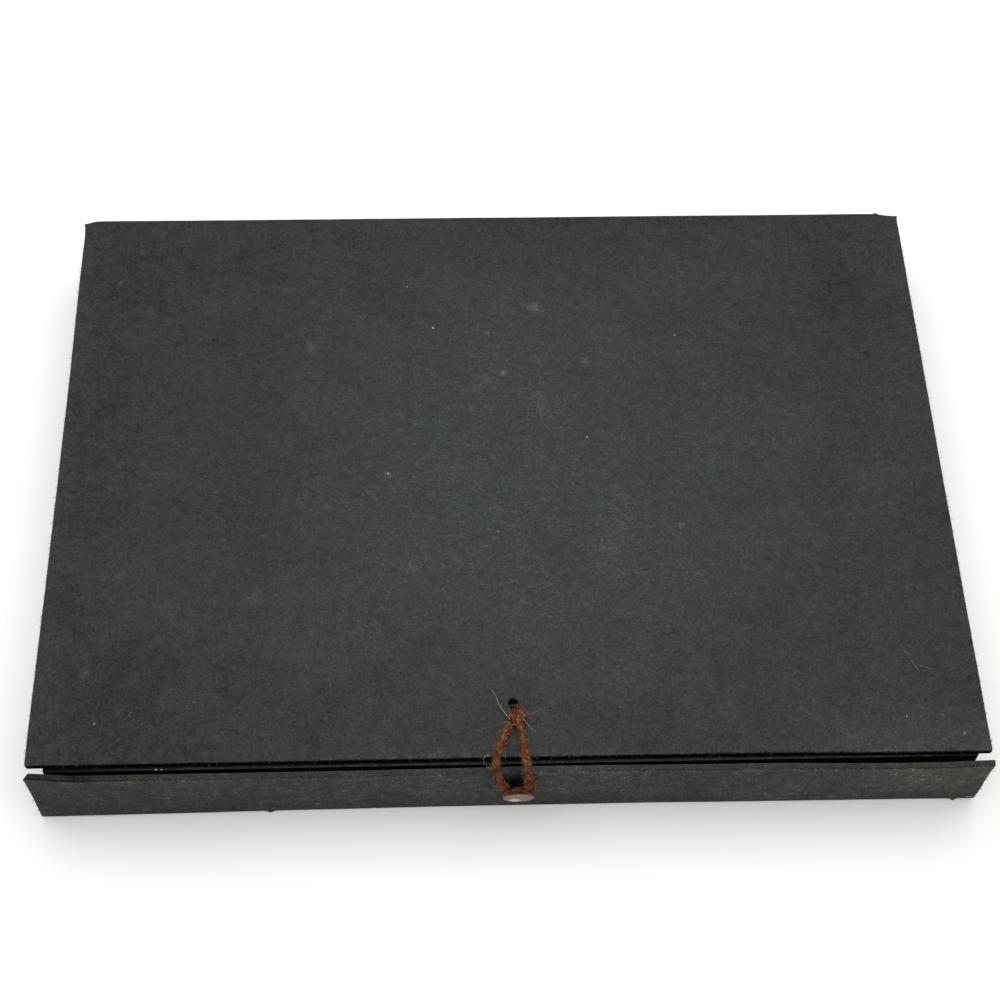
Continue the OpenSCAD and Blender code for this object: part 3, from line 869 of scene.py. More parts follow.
# %% Black handmade paper
def black_paper():
    """Handmade paper dyed in the pulp: matt, felted, faded where it is handled."""
    material, tree, shader = new_material("black_handmade_paper", Roughness=0.93, IOR=1.45)
    place = add(tree, "ShaderNodeTexCoord")["Object"]
    # Felt grain is finer than this on the real sheet, and is drawn at half a millimetre to show.
    # Each noise has a size in millimetres, its detail and its roughness
    noises = ((0.55, 3, 0.6), (2.6, 2, 0.5), (17, 3, 0.5), (70, 1, 0.5), (22, 5, 0.7))
    grain, clumps, cloud, drift, hue = [
        add(
            tree, "ShaderNodeTexNoise",
            {"Vector": place, "Scale": per_mm(size), "Detail": detail, "Roughness": roughness},
        )["Fac"]
        for size, detail, roughness in noises
    ]
    # Single fibres lie every way in the sheet: noise drawn out long and thin, at three turns
    fibres = 0.0
    for turn, shift in ((0.35, 0.0), (1.4, 0.31), (2.5, 0.67)):
        lay = add(
            tree, "ShaderNodeMapping",
            {"Vector": place, "Location": (shift, shift, shift), "Rotation": (0, 0, turn),
             "Scale": (per_mm(4.0), per_mm(0.32), per_mm(0.8))},
        )
        thread = add(
            tree, "ShaderNodeTexNoise",
            {"Vector": lay[0], "Scale": 1.0, "Detail": 1, "Distortion": 0.35},
        )
        line = add(
            tree, "ShaderNodeMapRange",
            {"Value": thread["Fac"], "From Min": 0.66, "From Max": 0.78},
            interpolation_type="SMOOTHSTEP",
        )
        fibres = total(tree, fibres, (line[0], 1.0))
    # Smudges, painted shade and specks are soft balls round a place on the surface
    sums = []
    for marks in (SMUDGES_AND_SHADE, SPECKS):
        dust_and_shade = 0.0
        for x, y, z, radius, strength in marks:
            spot = (x * MM, y * MM, z * MM)
            far = add(tree, "ShaderNodeVectorMath", {0: place, 1: spot}, operation="DISTANCE")
            ball = add(
                tree, "ShaderNodeMapRange",
                {"Value": far["Value"], "From Max": radius * MM,
                 "To Min": strength, "To Max": 0.0},
                interpolation_type="SMOOTHSTEP",
            )
            dust_and_shade = total(tree, dust_and_shade, (ball[0], 1.0))
        sums.append(dust_and_shade)
    smudges_and_shade, specks = sums
    # The lid is drawn paler towards its middle
    middle = add(
        tree, "ShaderNodeVectorMath", {0: place, 1: (6 * MM, -8 * MM, LID_TOP)}, operation="DISTANCE"
    )
    fade = add(
        tree, "ShaderNodeMapRange",
        {"Value": middle["Value"], "From Min": 0.0, "From Max": 130 * MM,
         "To Min": 1.0, "To Max": 0.0},
        interpolation_type="SMOOTHSTEP",
    )
    worn, fresh, tan = [
        add(tree, "ShaderNodeAttribute", attribute_name=label)["Fac"]
        for label in ("worn", "fresh", "tan")
    ]
    # Rubbing raises the felt, so worn paper is paler and also more mottled; the tray's rim is painted paler the
    # same way, as painted light
    mottle = total(tree, 0.0, (grain, 0.86), (clumps, 0.30), (cloud, 0.26))
    felted = add(tree, "ShaderNodeMath", {0: worn, 1: 0.6}, operation="MINIMUM")[0]
    rough = add(tree, "ShaderNodeMath", {0: mottle, 1: felted}, operation="MULTIPLY")[0]
    tone = total(
        tree, -0.50, (mottle, 1.0), (rough, 1.4), (felted, -1.0), (worn, 0.27), (drift, 0.12),
        (fibres, 0.14), (smudges_and_shade, 1.6), (specks, 1.6), (fade[0], 0.21),
    )
    body = add(
        tree, "ShaderNodeValToRGB", {"Fac": tone},
        stops=[(0.0, "1B1C1E"), (1.0, "9A9A98"), (0.5, "3E4040"), (0.75, "565857")],
    )["Color"]
    # Dye and dirt shift the charcoal between a cool and a warm black
    tint = add(
        tree, "ShaderNodeValToRGB", {"Fac": hue}, stops=[(0.32, "F8FCFF"), (0.68, "FFFDF8")]
    )["Color"]
    tinted = add(
        tree, "ShaderNodeMix", {"Factor": 1.0, MIX_A: body, MIX_B: tint},
        data_type="RGBA", blend_type="MULTIPLY",
    )[MIX_COLOUR]
    olive = add(
        tree, "ShaderNodeMix", {"Factor": tan, MIX_A: tinted, MIX_B: linear("FFF2E8")},
        data_type="RGBA", blend_type="MULTIPLY",
    )[MIX_COLOUR]
    # Crumbs lie on top of the paper, so they also show where it is unfaded and where it is painted shade
    unfaded_and_shade = total(tree, fresh, (specks, -0.8))
    colour = add(
        tree, "ShaderNodeMix", {"Factor": unfaded_and_shade, MIX_A: olive, MIX_B: linear("060607")},
        data_type="RGBA",
    )[MIX_COLOUR]
    gloss = total(tree, 0.28, (fresh, -0.24))
    tree.links.new(gloss, shader.inputs["Specular IOR Level"])
    height = total(tree, 0.0, (grain, 0.7), (clumps, 0.9), (fibres, 0.25))
    coat(tree, shader, colour, height, 0.55, 0.12 * MM)
    return material


cover_paper = black_paper()
print("nodes in the paper:", len(cover_paper.node_tree.nodes))

# %% [markdown]
# ## Folding the sheet
#
# One sheet covers the lid, the spine, the base and the flap. In the side view its outer face is a
# single line with bends in it: along the lid, round the crease, down the spine, round the back fold
# and along the base to the flap. The line is walked like a turtle, by runs and bends, and it gives
# the height and the facing of the paper at any distance along it. The panels and the creases are cut
# from the same line, so neighbouring pieces meet exactly.

# %% The sheet's line in the side view
crease_low, crease_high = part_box("lid_hinge_paper")
spine_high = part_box("spine_cover")[1]
base_low, base_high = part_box("base_cover")
LID_AXIS = joints["lid_hinge"]["pos_m"]
LID_CREASE_R = crease_high.y - LID_AXIS[1]
BACK_FOLD_R = spine_high.y - base_high.y
WIDTH = lid_high.x - lid_low.x
BEND_STEP = math.radians(11)


def folded_line(start, heading, parts, facing):
    """Distance along, y, z and facing angle of a line made of (length, turn) parts."""
    y, z = start
    along = 0.0
    rows = [(along, y, z, heading)]
    for length, turn in parts:
        steps = max(1, round(abs(turn) / BEND_STEP))
        bend = turn / steps
        chord = length / steps
        if turn:
            chord = 2 * length / abs(turn) * math.sin(abs(bend) / 2)
        for _ in range(steps):
            y += chord * math.cos(heading + bend / 2)
            z += chord * math.sin(heading + bend / 2)
            heading += bend
            along += length / steps
            rows.append((along, y, z, heading))
    along, ys, zs, headings = np.array(rows).T
    return along, ys, zs, headings + facing * math.pi / 2


def on_line(line, along):
    """Place (y, z) and outward direction (y, z) at distances along a folded line."""
    steps, ys, zs, faces = line
    angle = np.interp(along, steps, faces)
    return np.interp(along, steps, ys), np.interp(along, steps, zs), np.cos(angle), np.sin(angle)


QUARTER = math.pi / 2
lid_run = crease_high.y - LID_CREASE_R - LID_FRONT
spine_run = LID_TOP - LID_CREASE_R - BACK_FOLD_R
back_sheet = folded_line(
    (LID_FRONT, LID_TOP), 0.0,
    [
        (lid_run, 0), (LID_CREASE_R * QUARTER, -QUARTER),
        (spine_run, 0), (BACK_FOLD_R * QUARTER, -QUARTER),
    ],
    facing=1,
)
LID_END = lid_high.y - LID_FRONT
SPINE_START = lid_run + LID_CREASE_R * QUARTER + LID_TOP - LID_CREASE_R - spine_high.z
BACK_END = back_sheet[0][-1]

flap_edge = CREASE_CENTRE + FLAP_OUT * CREASE_R + FLAP_UP * FLAP_TOP
flap_turn = QUARTER - FLAP_LEAN
front_sheet = folded_line(
    (flap_edge.y, flap_edge.z), FLAP_LEAN - QUARTER,
    [(FLAP_TOP, 0), (CREASE_R * flap_turn, flap_turn), (base_high.y - CREASE_CENTRE.y, 0)],
    facing=-1,
)
FLAP_HINGE_EDGE = 1.05 * MM
FLAP_END = FLAP_TOP - FLAP_HINGE_EDGE
BASE_START = FLAP_TOP + CREASE_R * flap_turn + base_low.y - CREASE_CENTRE.y
FRONT_END = front_sheet[0][-1]
print("sheet is millimetres long:", round((BACK_END + FRONT_END) / MM, 1))

# %% [markdown]
# ## A wrapped panel
#
# Each panel is a grid on that line, with a border that is rolled over the board's edge and turned in
# underneath, as a bookbinder does it. A bevelled box would have dead straight edges. Here the outline
# wanders by a tenth of a millimetre, the corners are worn round, and bites and lumps can be added
# where the photograph shows damage. The sheet is modelled as a single skin, and Solidify then gives
# it the thickness of paper.

# %% Grid and unevenness of a panel
PAPER_T = 0.15 * MM
ARC_STEPS = np.radians([22.5, 45, 67.5, 90])
GRID_STEP = 2.6 * MM
FINEST_STEP = 0.06 * MM


def graded(start, end, fine=()):
    """Values from start to end on a grid that is closer at both ends and near the fine places."""
    close = np.array([0, 0.12, 0.3, 0.55, 0.9, 1.4, 2.1, 3.0, 4.2]) * MM
    values = list(start + close) + list(end - close)
    inner = np.linspace(start, end, max(2, round((end - start) / GRID_STEP)))
    values += list(inner[(inner > start + 5 * MM) & (inner < end - 5 * MM)])
    for place in fine:
        values += list(place + np.linspace(-2.4, 2.4, 13) * MM)
    values = np.unique(np.round([v for v in values if start <= v <= end], 7))
    keep = np.concatenate([[True], np.diff(values) > FINEST_STEP])
    keep[-1] = True
    return values[keep]


def wander(along, lane):
    """How far a folded edge strays from straight, in metres."""
    sizes = ((0.10, 26.0), (0.05, 6.0), (0.025, 1.4))
    return MM * np.array([
        sum(size * noise.noise(Vector((a / MM / wave, lane * 7.3, wave))) for size, wave in sizes)
        for a in np.ravel(along)
    ]).reshape(np.shape(along))


def bumps(across, along):
    """Unevenness of pasted paper, in metres."""
    return MM * np.array([
        0.05 * noise.noise(Vector((x / MM / 19, s / MM / 19, 1.5)))
        + 0.025 * noise.noise(Vector((x / MM / 5, s / MM / 5, 4.5)))
        for x, s in zip(np.ravel(across), np.ravel(along))
    ]).reshape(np.shape(across))


def bell(distance, width):
    """A soft hump, one in the middle."""
    return np.exp(-(distance / width) ** 2)


def ease(value):
    """A soft step from 0 to 1."""
    t = np.clip(value, 0, 1)
    return t * t * (3 - 2 * t)


# %% Wrapped panel
TURN_IN = 15 * MM
EDGE_REACH = 4 * MM
RUB_REACH = 1.1 * MM
SLANT_REACH = 2 * MM
# A strip thinner than this is paper alone, with no board in it
THIN = 1 * MM
WELD = 0.002 * MM
# How much of the face's wear a fold and the side below it have
FOLD_RUB = 0.9
SIDE_RUB = 0.25


def rounded(across, along, out_x, out_s, corners, edge_r):
    """Draws the grid's two free corners in to arcs; the outward directions turn with them."""
    half = WIDTH / 2
    for sign, radius in zip((-1, 1), corners):
        inner = radius - edge_r
        a = (sign * across - (half - radius)) / inner
        b = (radius - along) / inner
        hit = (a > 0) & (b > 0)
        a2 = a * np.sqrt(np.clip(1 - b * b / 2, 0, 1))
        b2 = b * np.sqrt(np.clip(1 - a * a / 2, 0, 1))
        across = np.where(hit, sign * (half - radius + a2 * inner), across)
        along = np.where(hit, radius - b2 * inner, along)
        size = np.hypot(a2, b2) + 1e-9
        out_x = np.where(hit, sign * a2 / size, out_x)
        out_s = np.where(hit, -b2 / size, out_s)
    return across, along, out_x, out_s


def edge_rings(thickness, edge_r):
    """Steps (outward, down) that take the paper over an edge, down the side and underneath."""
    rings = [(edge_r * math.sin(w), edge_r * (1 - math.cos(w))) for w in ARC_STEPS]
    rings += [(edge_r, edge_r + share * (thickness - 2 * edge_r)) for share in (0.25, 0.5)]
    return rings + [
        (edge_r * math.cos(w), thickness - edge_r * (1 - math.sin(w))) for w in (0, *ARC_STEPS)
    ]


def add_thickness(piece):
    """Solidify gives a skin the thickness of paper, inwards."""
    skin = piece.modifiers.new("paper", "SOLIDIFY")
    skin.thickness = PAPER_T
    skin.offset = -1


def wrapped_panel(
    name, line, span, thickness, edge_r, corners=(), fine_x=(), fine_s=(), bites=(), lumps=(),
    slants=(), bow=None, fresh=None, worn=None, tan=None, flip=False,
):
    """A skin of paper over one panel: a grid on the line, rolled over its sides and free edge.

    Only a panel with corners has a free edge. Bites move a side in or out, lumps raise the face,
    slants pull a corner's side in, and a bow moves the whole panel to the front or the back.
    """
    half = WIDTH / 2
    xs = graded(-half + edge_r, half - edge_r, fine_x)
    ss = graded(edge_r if corners else span[0], span[1], fine_s)
    across, along = np.meshgrid(xs, ss, indexing="ij")
    nx, ns = across.shape
    out_x = np.zeros((nx, ns))
    out_s = np.zeros((nx, ns))
    out_x[0, :] = -1
    out_x[-1, :] = 1
    if corners:
        out_s[1:-1, 0] = -1
        across, along, out_x, out_s = rounded(across, along, out_x, out_s, corners, edge_r)
    left = wander(along, 1)
    right = wander(along, 2)
    for side, middle, amount, width in bites:
        push = amount * bell(along - middle, width)
        if side < 0:
            left = left + push
        else:
            right = right + push
    gap_left = across + half
    gap_right = half - across
    across = across - left * np.exp(-gap_left / EDGE_REACH) + right * np.exp(-gap_right / EDGE_REACH)
    gap = np.minimum(gap_left, gap_right)
    if corners:
        gap = np.minimum(gap, along)
        along = along - wander(across, 3) * np.exp(-along / EDGE_REACH)
    lift = bumps(across, along)
    for x, s, amount, wide, long in lumps:
        lift = lift + amount * bell(np.hypot((across - x) / wide, (along - s) / long), 1)

    def place(x, s, depth):
        y, z, ny, nz = on_line(line, s)
        if bow:
            y = y + bow(x, s)
        return np.stack([x, y - ny * depth, z - nz * depth], axis=-1)

    rub = np.exp(-gap / RUB_REACH) if worn is None else worn(across, along, gap)
    olive = 0.3 * rub if tan is None else tan(across, along, gap)
    index = np.arange(nx * ns).reshape(nx, ns)
    faces = [
        (index[i, j], index[i + 1, j], index[i + 1, j + 1], index[i, j + 1])
        for i in range(nx - 1) for j in range(ns - 1)
    ]
    # Each layer is a set of points with its worn, fresh, tan and fray values
    plain = np.zeros(nx * ns)
    layers = [(place(across, along, -lift).reshape(-1, 3), rub.ravel(), plain, olive.ravel(), plain)]
    made = nx * ns
    left_side = [(0, j) for j in range(ns - 1, -1, -1)]
    right_side = [(nx - 1, j) for j in range(ns)]
    chains = [left_side, right_side]
    if corners:
        chains = [left_side + [(i, 0) for i in range(1, nx - 1)] + right_side]
    thin = thickness < THIN
    turn = -1 if flip else 1
    for chain in chains:
        rows, cols = np.array(chain).T
        x0, s0, lift0 = across[rows, cols], along[rows, cols], lift[rows, cols]
        _, _, ny, nz = on_line(line, s0)
        ahead = turn * out_s[rows, cols]
        outward = np.stack([out_x[rows, cols], ahead * nz, -ahead * ny], axis=1)
        lean_in = np.zeros(len(x0))
        for side, amount, width in slants:
            near = np.exp(-(half - side * x0) / SLANT_REACH)
            lean_in = lean_in - side * amount * bell(s0, width) * near
        skins = []
        for out, depth in edge_rings(thickness, edge_r):
            fade = lift0 * (1 if thin else 1 - depth / thickness)
            skin = place(x0 + lean_in * depth / thickness, s0, depth - fade) + outward * out
            # Over the edge and down the board's side the paper is painted darker with depth, as painted shade
            dark = np.full(len(x0), min(1.0, depth / edge_r * 0.8))
            if fresh:
                dark = fresh(x0, depth)
            skins.append((skin, dark, FOLD_RUB if depth < edge_r else SIDE_RUB))
        x1 = x0 + lean_in
        x_in = np.clip(x0, -half + TURN_IN, half - TURN_IN)
        s_in = np.maximum(s0, TURN_IN) if corners else s0
        for share in (0.25, 0.5, 0.75, 1.0):
            under = thickness - lift0 * (1 - share if thin else 0)
            skin = place(x1 + (x_in - x1) * share, s0 + (s_in - s0) * share, under)
            skins.append((skin, np.ones(len(x0)), 0.0))
        previous = index[rows, cols]
        for skin, dark, rub_share in skins:
            fray = np.full(len(skin), float(rub_share == FOLD_RUB))
            rubbed_and_lit = rub_share * (0.4 + 0.6 * rub[rows, cols])
            layers.append((skin, rubbed_and_lit, dark, olive[rows, cols], fray))
            current = made + np.arange(len(skin))
            made += len(skin)
            faces += [
                (previous[k], current[k], current[k + 1], previous[k + 1])
                for k in range(len(skin) - 1)
            ]
            previous = current
    if flip:
        faces = [face[::-1] for face in faces]
    points, *values = [np.concatenate(column) for column in zip(*layers)]
    piece = new_object(
        name, points, [tuple(int(i) for i in face) for face in faces],
        dict(zip(("worn", "fresh", "tan", "fray"), values)),
    )
    work = bmesh.new()
    work.from_mesh(piece.data)
    bmesh.ops.remove_doubles(work, verts=work.verts, dist=WELD)
    work.to_mesh(piece.data)
    work.free()
    add_thickness(piece)
    return piece


# %% [markdown]
# ## The case's paper
#
# The lid, the spine, the base and the flap are wrapped panels. The two creases between them are the
# box's hinges: strips of the same paper, which bend on the real box when it opens. Here each is made
# once and left on no panel.

# %% Lid, spine and their crease
EDGE_R = 0.45 * MM
PANEL_T = LID_TOP - lid_low.z
CREASE_T = 2 * PAPER_T
CREASE_EDGE_R = 0.12 * MM
HOLE_R = 1.5 * MM
PAPER_HOLE_R = 1.3 * MM
HOLE = Vector((SWING[0], SWING[1], LID_TOP))
LID_CORNERS = (0.6 * MM, 0.5 * MM)
PINCH_X = 115.8 * MM
hole_along = HOLE.y - LID_FRONT


def lid_bow(across, along):
    """The front edge's right end has crept forward."""
    return -0.6 * MM * ease((across / MM - 60) / 42) * np.exp(-along / (9 * MM))


def lid_wear(across, along, gap):
    """The lid is rubbed along its sides and in the middle of its front edge."""
    side_gap = WIDTH / 2 - np.abs(across)
    middle = bell(across / MM - 8, 70)
    return 0.3 * np.exp(-side_gap / (2 * MM)) + 0.35 * middle * np.exp(-along / (1.3 * MM))


def lid_tan(across, along, gap):
    """Only the lid's sides have gone a little olive."""
    return 0.4 * np.exp(-(WIDTH / 2 - np.abs(across)) / (2 * MM))


# The crease is pinched at its right end and its corners are blunt; all three pieces share this
fold_along = lid_run + 0.4 * MM
back_shape = {
    "worn": lid_wear, "tan": lid_tan,
    "lumps": [
        (PINCH_X, fold_along, 0.4 * MM, 0.6 * MM, 0.6 * MM),
        (122 * MM, fold_along, -0.9 * MM, 4.5 * MM, 1.2 * MM),
        (-122.5 * MM, fold_along, -0.9 * MM, 2.2 * MM, 1.2 * MM),
    ],
    "bites": [(-1, lid_run, 0.35 * MM, 2.5 * MM), (1, lid_run, 0.35 * MM, 1.2 * MM)],
}
lid_shape = {
    **back_shape,
    "lumps": [(HOLE.x, hole_along, -0.14 * MM, 1.9 * MM, 1.9 * MM), *back_shape["lumps"]],
    "bites": [(-1, 90 * MM, -0.4 * MM, 55 * MM), (1, 0, 0.2 * MM, 6 * MM), *back_shape["bites"]],
}
lid_paper = wrapped_panel(
    "lid_paper", back_sheet, (0, LID_END), PANEL_T, EDGE_R, LID_CORNERS,
    fine_x=(HOLE.x, PINCH_X), fine_s=(hole_along,), bow=lid_bow, **lid_shape,
)
lid_crease = wrapped_panel(
    "lid_crease_paper", back_sheet, (LID_END, SPINE_START), CREASE_T, CREASE_EDGE_R,
    fine_x=(PINCH_X,), **back_shape,
)
spine_paper = wrapped_panel(
    "spine_paper", back_sheet, (SPINE_START, BACK_END), PANEL_T, EDGE_R,
    fine_x=(PINCH_X,), **back_shape,
)


HOLE_SIDES = 40
CUTTER_LENGTH = 8 * MM


def cut_hole(piece, centre, direction, radius):
    """Cuts a round hole with a Boolean; the cutter is thrown away when the piece is settled."""
    bpy.ops.mesh.primitive_cylinder_add(
        vertices=HOLE_SIDES, radius=radius, depth=CUTTER_LENGTH, location=centre,
        rotation=Vector(direction).to_track_quat("Z", "Y").to_euler(),
    )
    cutter = bpy.context.object
    cut = piece.modifiers.new("hole", "BOOLEAN")
    cut.object = cutter
    cut.solver = "EXACT"
    return cutter


cutter = cut_hole(lid_paper, HOLE, (0, 0, 1), PAPER_HOLE_R)
for piece in (lid_paper, lid_crease, spine_paper):
    settle(piece, cover_paper)
bpy.data.objects.remove(cutter)
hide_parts("lid_cover")
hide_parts("lid_hinge_paper")
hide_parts("spine_cover")
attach(lid_paper, "lid")
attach(spine_paper, "case")
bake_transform(lid_crease)
print("lid paper, triangles:", count(lid_paper))

# %% Base, flap and their crease
FLAP_T = 1.8 * MM
FLAP_EDGE_R = 0.3 * MM
FLAP_CORNERS = (0.45 * MM, 0.4 * MM)


def flap_wear(across, along, gap):
    """The flap is felted all over by handling, smoother at its right end and palest at its edges."""
    right_end = np.clip((across / MM - 85) / 25, 0, 1)
    return 0.55 - 0.3 * right_end + 0.6 * np.exp(-gap / (0.9 * MM))


def flap_tan(across, along, gap):
    """The flap has gone olive, most of all at its right end."""
    return 0.6 + 0.35 * np.clip((across / MM - 95) / 25, 0, 1)


def flap_darkening(across, depth):
    """The flap's top edge is drawn as pale as its face, but darker at its ends and in a thin line at the fold."""
    x = across / MM
    ends = 0.4 * np.clip((-x - 92) / 14, 0, 1) + 0.2 * np.clip((x - 75) / 25, 0, 1)
    return 0.05 + ends + 0.45 * bell(depth - 0.25 * MM, 0.15 * MM)


def flap_bow(across, along):
    """The twine holds the flap's middle, and its free ends have warped outwards."""
    x = across / MM
    down = np.clip(along / FLAP_TOP, 0, 1)
    top = 0.6 * ease((x - 60) / 42) - 0.35 * bell(x - 10, 30)
    top = top - 0.9 * bell(x + 122, 8) - 0.3 * bell(x - 122, 9)
    bottom = 0.75 * np.clip((-x - 20) / 97, 0, 1) + 0.5 * np.clip((x - 30) / 90, 0, 1)
    held = ease((BASE_START - along) / (BASE_START - FLAP_TOP))
    return -MM * (top * (1 - down) + bottom * down) * held


# The flap's lower right side bulges and its left side is cut a little short
flap_shape = {"worn": flap_wear, "tan": flap_tan, "bow": flap_bow, "flip": True}
flap_sides = [(1, 20 * MM, 0.55 * MM, 8 * MM), (-1, 13 * MM, -0.4 * MM, 14 * MM)]
flap_paper = wrapped_panel(
    "flap_paper", front_sheet, (0, FLAP_END), FLAP_T, FLAP_EDGE_R, FLAP_CORNERS, fresh=flap_darkening,
    slants=[(-1, 1.3 * MM, 3 * MM), (1, -0.35 * MM, 2 * MM)],
    bites=[
        (1, 13.5 * MM, 0.35 * MM, 0.9 * MM), (-1, 0, 0.25 * MM, 1.2 * MM), (1, 0, 0.2 * MM, 1.0 * MM),
        *flap_sides,
    ],
    **flap_shape,
)
# Two crumbs of paper stick to the crease: place along it, height and width
CRUMBS = [(-62.5 * MM, 0.5 * MM, 0.8 * MM), (117 * MM, 0.6 * MM, 0.6 * MM)]
flap_crease = wrapped_panel(
    "flap_crease_paper", front_sheet, (FLAP_END, BASE_START), CREASE_T, CREASE_EDGE_R,
    fine_x=[x for x, height, width in CRUMBS],
    lumps=[(x, FLAP_TOP + 0.2 * MM, height, width, width) for x, height, width in CRUMBS],
    bites=flap_sides, **flap_shape,
)
# The base's sides stand out a little, so that its square board stays under the paper
base_paper = wrapped_panel(
    "base_paper", front_sheet, (BASE_START, FRONT_END), PANEL_T, EDGE_R, flip=True,
    bites=[(side, 0, 0.15 * MM, 1.0) for side in (-1, 1)],
)
for piece in (flap_paper, flap_crease, base_paper):
    settle(piece, cover_paper)
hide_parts("flap_cover")
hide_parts("flap_hinge_paper")
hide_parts("base_cover")
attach(flap_paper, "flap")
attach(base_paper, "case")
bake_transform(flap_crease)
print("flap paper, triangles:", count(flap_paper))

# %% [markdown]
# ## Boards and linings
#
# The lid's and the flap's corners are worn round and the flap is warped, so their boards and the
# flap's lining have to follow, or they would poke through the paper. They are outlines on the sheet's
# line, pulled to their thickness. The other boards and linings keep their plain solids, which are
# right as they are, and get a finish: greyboard is pressed waste paper, brownish grey and flecked,
# and the lining is a smooth black paper.

# %% Greyboard and lining paper
INK_REACH = (5 * MM, 6 * MM)


def greyboard():
    """Pressed waste paper: matt, brownish grey, with darker and paler flecks."""
    material, tree, shader = new_material(
        "greyboard", Roughness=0.95, IOR=1.45, Specular_IOR_Level=0.2
    )
    place = add(tree, "ShaderNodeTexCoord")["Object"]
    pulp = add(tree, "ShaderNodeTexNoise", {"Vector": place, "Scale": per_mm(0.8), "Detail": 4})
    flecks = add(tree, "ShaderNodeTexVoronoi", {"Vector": place, "Scale": per_mm(1.5)})
    tone = total(tree, 0.05, (pulp["Fac"], 0.6), (flecks["Distance"], 0.25))
    colour = add(
        tree, "ShaderNodeValToRGB", {"Fac": tone}, stops=[(0.2, "6C655D"), (0.8, "A0978B")]
    )
    # The boards' cut ends at the two creases are inked black, so they don't show when the box is open
    side_view = add(tree, "ShaderNodeVectorMath", {0: place, 1: (0, 1, 1)}, operation="MULTIPLY")
    ink = 0.0
    for y, z in (LID_AXIS[1:], CREASE_CENTRE.yz):
        far = add(
            tree, "ShaderNodeVectorMath", {0: side_view[0], 1: (0, y, z)}, operation="DISTANCE"
        )
        near = add(
            tree, "ShaderNodeMapRange",
            {"Value": far["Value"], "From Min": INK_REACH[0], "From Max": INK_REACH[1],
             "To Min": 1.0, "To Max": 0.0},
        )
        ink = total(tree, ink, (near[0], 1.0))
    inked = add(
        tree, "ShaderNodeMix",
        {"Factor": ink, MIX_A: colour["Color"], MIX_B: linear("0C0C0D")}, data_type="RGBA",
    )
    coat(tree, shader, inked[MIX_COLOUR], pulp["Fac"], 0.5, 0.1 * MM)
    return material


def lining_paper():
    """Machine-made black paper: smoother than the cover, with a faint even grain."""
    material, tree, shader = new_material(
        "black_lining_paper", Roughness=0.85, IOR=1.45, Specular_IOR_Level=0.3
    )
    place = add(tree, "ShaderNodeTexCoord")["Object"]
    grain = add(tree, "ShaderNodeTexNoise", {"Vector": place, "Scale": per_mm(0.7), "Detail": 3})
    cloud = add(tree, "ShaderNodeTexNoise", {"Vector": place, "Scale": per_mm(24), "Detail": 2})
    tone = total(tree, 0.0, (grain["Fac"], 0.5), (cloud["Fac"], 0.5))
    colour = add(
        tree, "ShaderNodeValToRGB", {"Fac": tone}, stops=[(0.25, "222326"), (0.75, "37373A")]
    )
    coat(tree, shader, colour["Color"], grain["Fac"], 0.3, 0.05 * MM)
    return material


grey_board = greyboard()
inside_paper = lining_paper()
finishes = {"greyboard": grey_board, "lining_paper": inside_paper}
for row in frame["record"]["subparts"]:
    finish = finishes.get(row["material_slot"])
    if finish:
        for slot in frame["nodes"][row["node"]].material_slots:
            slot.material = finish
print("finishes on plain solids:", sorted(finishes))


# %% Boards with worn corners
BOARD_COLUMNS = 120
FLAP_CORE_CORNERS = (3.2 * MM, 0.8 * MM)
LINING_CORNERS = (0.3 * MM, 0.3 * MM)


def strip_board(name, line, span, depths, half, corners, bow=None):
    """A board or a lining under a wrapped panel: columns across it, shorter at its round corners."""
    columns = list(np.linspace(-half, half, BOARD_COLUMNS))
    for sign, radius in zip((-1, 1), corners):
        columns += [sign * (half - radius * (1 - math.sin(w))) for w in (0, *ARC_STEPS)]
    columns = np.unique(np.round(columns, 7))
    tops = np.full(len(columns), span[0])
    for sign, radius in zip((-1, 1), corners):
        past = np.clip(sign * columns - (half - radius), 0, radius)
        tops = tops + radius - np.sqrt(radius ** 2 - past ** 2)
    points = []
    for depth in depths:
        for s in (tops, np.full(len(columns), span[1])):
            y, z, ny, nz = on_line(line, s)
            y = y if bow is None else y + bow(columns, s)
            points.append(np.stack([columns, y - ny * depth, z - nz * depth], axis=1))
    n = len(columns)
    faces = []
    for a, b in ((0, 1), (3, 2), (2, 0), (1, 3)):
        faces += [(a * n + k, a * n + k + 1, b * n + k + 1, b * n + k) for k in range(n - 1)]
    faces += [(0, n, 3 * n, 2 * n), (n - 1, 3 * n - 1, 4 * n - 1, 2 * n - 1)]
    piece = new_object(name, np.vstack(points), faces)
    face_outward(piece)
    return piece


BOARD_HALF = WIDTH / 2 - 0.6 * MM
INNER = PAPER_T * 1.1
LINING_MARGIN = 4 * MM
lid_core = strip_board(
    "lid_greyboard", back_sheet, (PAPER_T, LID_END), (INNER, PANEL_T - INNER), BOARD_HALF,
    LID_CORNERS,
)
flap_core = strip_board(
    "flap_greyboard", front_sheet, (PAPER_T, FLAP_END), (INNER, FLAP_T - INNER), BOARD_HALF,
    FLAP_CORE_CORNERS, flap_bow,
)
flap_lining = strip_board(
    "flap_lining_sheet", front_sheet, (LINING_MARGIN, FLAP_END), (FLAP_T, FLAP_T + PAPER_T),
    WIDTH / 2 - LINING_MARGIN, LINING_CORNERS, flap_bow,
)
settle(flap_lining, inside_paper)
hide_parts("flap_lining")
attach(flap_lining, "flap")
cutter = cut_hole(lid_core, HOLE, (0, 0, 1), HOLE_R)
for piece, node, body in ((lid_core, "lid_board", "lid"), (flap_core, "flap_board", "flap")):
    settle(piece, grey_board)
    piece.data.materials.append(cover_paper)
    for face in piece.data.polygons:
        # The board's wall round the hole gets the black paper, as painted shade that makes the hole read dark
        if (face.center - HOLE).xy.length < HOLE_R * 1.05:
            face.material_index = 1
    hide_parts(node)
    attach(piece, body)
bpy.data.objects.remove(cutter)
print("boards, triangles:", count(lid_core), count(flap_core))

